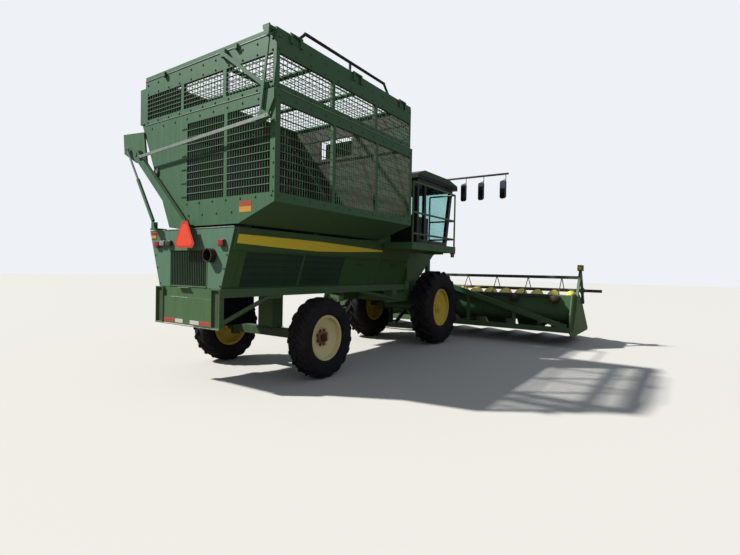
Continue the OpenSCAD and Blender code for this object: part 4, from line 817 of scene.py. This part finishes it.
FRONT_HUB, REAR_HUB = (0, 860, 790), (-4030, 1060, 583)
rubber = tyre_rubber("dusty_tyre_rubber")
wheel_yellow = enamel("wheel_yellow_enamel", "#e6cb40", "#ecd86e", 0.45, 0.2, 0.3)
pale_yellow = enamel("faded_wheel_enamel", "#f0e6aa", "#f2ecc4", 0.5, 0.2, 0.3,
                     spot(REAR_HUB[0], -REAR_HUB[1], REAR_HUB[2]))
for end in ("front", "rear"):
    for side_name in ("left", "right"):
        coat_node(f"{end}_{side_name}_tyre", rubber)
        pale = (end, side_name) == ("rear", "right")
        coat_node(f"{end}_{side_name}_rim", pale_yellow if pale else wheel_yellow)
coat_node("left_knuckle", dark_enamel)
coat_node("right_knuckle", dark_enamel)


def farm_tyre(name, centre, size, width, rim, lug_rise, lug_width, lugs=20):
    """A worn farm tyre, its axle along Y: a turned carcass and two rows of slanted
    lugs that follow its crown and fold over its shoulders."""
    radius = size / 2
    crown = radius - lug_rise
    bead = rim / 2 - 0.022
    wall = crown - bead
    # Half the section from bead to crown: each radius with its share of the width
    half = [(bead, 0.29), (rim / 2 + 0.01, 0.31)]
    half += [(bead + share * wall, y) for share, y in ((0.2, 0.44), (0.4, 0.485), (0.6, 0.49),
                                                       (0.78, 0.465), (0.92, 0.41), (0.98, 0.34))]
    half += [(crown, 0.2), (crown, 0.0)]
    profile = half + [(r, -y) for r, y in reversed(half[:-1])]
    clear()
    bpy.ops.mesh.primitive_circle_add(vertices=len(profile), radius=1, fill_type="NOTHING")
    carcass = bpy.context.object
    for vertex, (r, y) in zip(carcass.data.vertices, profile):
        vertex.co = (r, y * width, 0)
    apply_modifier(carcass, "SCREW", axis="Y", steps=96, render_steps=96, use_merge_vertices=True)
    edit_mesh(carcass, (bpy.ops.mesh.normals_make_consistent, {"inside": False}))
    bars = []
    for side in (-1, 1):
        for i in range(lugs):
            clear()
            bpy.ops.mesh.primitive_grid_add(x_subdivisions=8, y_subdivisions=2, size=1)
            bar = bpy.context.object
            turn = (i + side / 4) * 2 * math.pi / lugs
            for vertex in bar.data.vertices:
                along, across = vertex.co.x + 0.5, vertex.co.y
                fold = max(0, (along - 0.68) / 0.32)
                reach = radius - 0.001 - 0.2 * wall * fold ** 1.6
                y = (0.02 - 0.505 * along + 0.012 * fold) * width
                lean = 0.52 * width * (along - 0.5) * (1.1 - 0.25 * along)
                a = turn + (lean + across * lug_width * (0.85 + 0.35 * along)) / radius
                vertex.co = (reach * math.cos(a), side * y, reach * math.sin(a))
            bar.data.update()
            if side > 0:
                bar.data.flip_normals()
            bars.append(bar)
    treads = apply_modifier(join(bars), "SOLIDIFY", thickness=lug_rise + 0.012, offset=-1)
    apply_modifier(treads, "BEVEL", width=0.006, segments=2, limit_method="ANGLE")
    whole = join([carcass, treads])
    whole.location = centre
    end = name.replace("_tyre_rubber", "")
    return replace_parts(settle(whole, name, rubber, end + "_wheel"), end + "_tyre")


for end, (x, y, z), sizes in (("front", FRONT_HUB, (1.58, 0.47, 0.8, 0.036, 0.062)),
                              ("rear", REAR_HUB, (1.166, 0.33, 0.655, 0.022, 0.046))):
    farm_tyre(end + "_left_tyre_rubber", spot(x, y, z), *sizes)
    farm_tyre(end + "_right_tyre_rubber", spot(x, -y, z), *sizes)
wheel_rust = bare_steel("rusted_hub_steel", "#6e3f22", "#4a2a19", 0.75, 30.0, 0.2)

WHEEL_NUTS = 8
# Columns: hub, its face beyond the tyre's middle, radii of hub, bolt circle and rim edge,
# half the rim's width, and each sidewall rib's radius with its place
for end, (x, centre_y, z), disc, hub_r, bolt_r, flange, half, walls in (
        ("front", FRONT_HUB, 96, 0.095, 0.145, 0.396, 152, ((0.545, 224), (0.655, 221))),
        ("rear", REAR_HUB, 36, 0.075, 0.112, 0.324, 110, ((0.415, 158), (0.488, 156)))):
    for side_name, side in (("left", 1), ("right", -1)):
        face_y = side * (centre_y + disc)
        nuts = []
        for k in range(WHEEL_NUTS):
            turn = 2 * math.pi * (k + 0.5) / WHEEL_NUTS
            arm = Vector((math.cos(turn), 0, math.sin(turn))) * bolt_r
            place = spot(x, face_y - side * 22, z) + arm
            nuts.append(bolt_row(place, place, 1, (0, side, 0), 0.03))
        cap = round_bar(spot(x, face_y - side * 4, z), spot(x, face_y + side * 34, z),
                        hub_r * 1.5, 32, 0.008)
        rusty = (end, side_name) == ("rear", "right")
        name = f"{end}_{side_name}_"
        settle(join(nuts + [cap]), name + "hub", wheel_rust if rusty else wheel_yellow,
               name + "wheel")
        # Rolled edge of the rim, and two moulded ribs round each sidewall
        edge = ring(spot(x, side * (centre_y + half), z), flange, 0.007, (0, side, 0))
        settle(edge, name + "rim_edge", pale_yellow if rusty else wheel_yellow,
               name + "wheel")
        ribs = [ring(spot(x, side * centre_y + s * wall, z), r, 0.006, (0, side, 0))
                for s in (-1, 1) for r, wall in walls]
        settle(join(ribs), name + "sidewall_ribs", rubber, name + "wheel")

# Header: green sheet trough, welded truss and row dividers, black rolls with brushes and
# bats under them, and a black bar with a pipe in front.

for name in ("header_frame", "header_trough", "row_dividers"):
    coat_node(name, green_enamel)
coat_node("stripper_rolls", black_plastic)
coat_node("header_bar", plastic("black_bar_paint", "#17191b", 0.4, 0.2, 0.35))

# Auger: a worn bright tube with a left and a right flight, wound from strip, that bring
# the cotton to the middle, and paddles there that throw it into the duct.

AUGER_X, AUGER_Z, AUGER_END = 1700, 770, 3389.7
auger_steel = bare_steel("worn_auger_steel", "#6a6c68", "#8b8d88", 0.35)
coat_node("header_auger", auger_steel)
auger = [round_bar(spot(AUGER_X, -AUGER_END, AUGER_Z), spot(AUGER_X, AUGER_END, AUGER_Z),
                   0.16, 40)]
for side in (-1, 1):
    # One flight: a strip of steel wound about the core from the middle outward
    clear()
    bpy.ops.mesh.primitive_plane_add(size=1, location=(0, 0, 0), rotation=(math.pi / 2, 0, 0))
    flight = bpy.context.object
    flight.scale = (0.154, 0.008, 1)
    bpy.ops.object.transform_apply(location=False, rotation=True, scale=True)
    edit_mesh(flight, (bpy.ops.transform.translate, {"value": (0.153, 0, 0)}))
    apply_modifier(flight, "SCREW", axis="Z", angle=side * 2 * math.pi, screw_offset=0.42,
                   iterations=6, steps=36, render_steps=36, use_merge_vertices=False)
    edit_mesh(flight, (bpy.ops.mesh.fill_holes, {"sides": 4}),
              (bpy.ops.mesh.normals_make_consistent, {"inside": False}))
    flight.rotation_euler[0] = -side * math.pi / 2
    flight.location = spot(AUGER_X, side * 500, AUGER_Z)
    auger.append(flight)
    for turn in (0.4, 2.5, 4.6):
        arm = Vector((math.cos(turn), 0, math.sin(turn)))
        paddle = slab((-0.004, -0.11, 0), (0.004, 0.11, 0.2), 0.002)
        paddle.rotation_euler[1] = math.pi / 2 - turn
        paddle.location = spot(AUGER_X, side * 130, AUGER_Z) + arm * 0.07
        auger.append(paddle)
auger = settle(join(auger), "auger_with_flights", auger_steel, "header_auger")
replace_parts(auger, "header_auger")

# Drive motors behind the trough with their steel oil lines and clamps, the end frames'
# orange lamps and the yellow top of their caps.

MOTOR_Z, END_Y = 1020, 3440
motors, lines, caps, lamps = [], [], [], []
for y in (-3080, -2200, 2200, 3080):
    motors.append(slab(spot(1352, y - 80, 930), spot(1424, y + 80, 1090), 0.008))
    motors.append(round_bar(spot(1354, y, MOTOR_Z), spot(1190, y, MOTOR_Z), 0.15, 28, 0.01))
    motors.append(round_bar(spot(1200, y, MOTOR_Z), spot(1165, y, MOTOR_Z), 0.09, 24, 0.006))
for side in (-1, 1):
    for z in (1062, 1098):
        lines.append(round_bar(spot(1366, side * 300, z), spot(1366, side * 3120, z), 0.024, 10))
    for y in (350, 1115, 2215):
        lines.append(slab(spot(1344, side * y - 20, 1040), spot(1380, side * y + 20, 1112)))
    y = side * END_Y
    caps.append(slab(spot(1962, y - 38, 1769), spot(2258, y + 38, 1774), 0.001, 1))
    lamps.append(round_bar(spot(1925, y, 1700), spot(1961, y, 1700), 0.085, 28, 0.008))
settle(join(motors), "header_motors", black_plastic, "header")
settle(join(lines), "header_oil_lines", black_plastic, "header")
settle(join(caps), "end_cap_strips", yellow_enamel, "header", False)
settle(join(lamps), "header_end_lamps", amber_film, "header")

# Row hoods: two moulded covers of yellow plastic to each of the nine dividers, noses
# down on the sloping deck. Each is a ball drawn out into a ridge.

ROW_HOODS, HOOD_PITCH = 18, 381
RIDGE_X, RIDGE_LEN, RIDGE_HALF, RIDGE_RISE = 1885, 895, 172, 310
DECK_BEND_X, DECK_Z, DECK_FALL = 1985, 1030, math.tan(math.radians(23.6))
hood_yellow = enamel("hood_yellow_plastic", "#ffe85a", "#fff09a", 0.4, 0.1, 0.1)
hoods = []
for k in range(ROW_HOODS):
    clear()
    bpy.ops.mesh.primitive_uv_sphere_add(segments=28, ring_count=20, radius=1,
                                         rotation=(0, math.pi / 2, 0))
    hood = bpy.context.object
    bpy.ops.object.transform_apply(location=False, rotation=True, scale=False)
    middle = (k - (ROW_HOODS - 1) / 2) * HOOD_PITCH
    for vertex in hood.data.vertices:
        along = (vertex.co.x + 1) / 2
        x = RIDGE_X + RIDGE_LEN * along
        y = middle + vertex.co.y * RIDGE_HALF * (1 - 0.45 * along)
        deck = DECK_Z - max(0, x - DECK_BEND_X) * DECK_FALL
        rise = max(vertex.co.z, -0.06) * RIDGE_RISE * (0.45 + along)
        vertex.co = spot(x, y, deck + 20 + rise)
    hood.data.update()
    hoods.append(hood)
row_hoods = settle(join(hoods), "rounded_row_hoods", hood_yellow, "header")
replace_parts(row_hoods, "row_hoods")
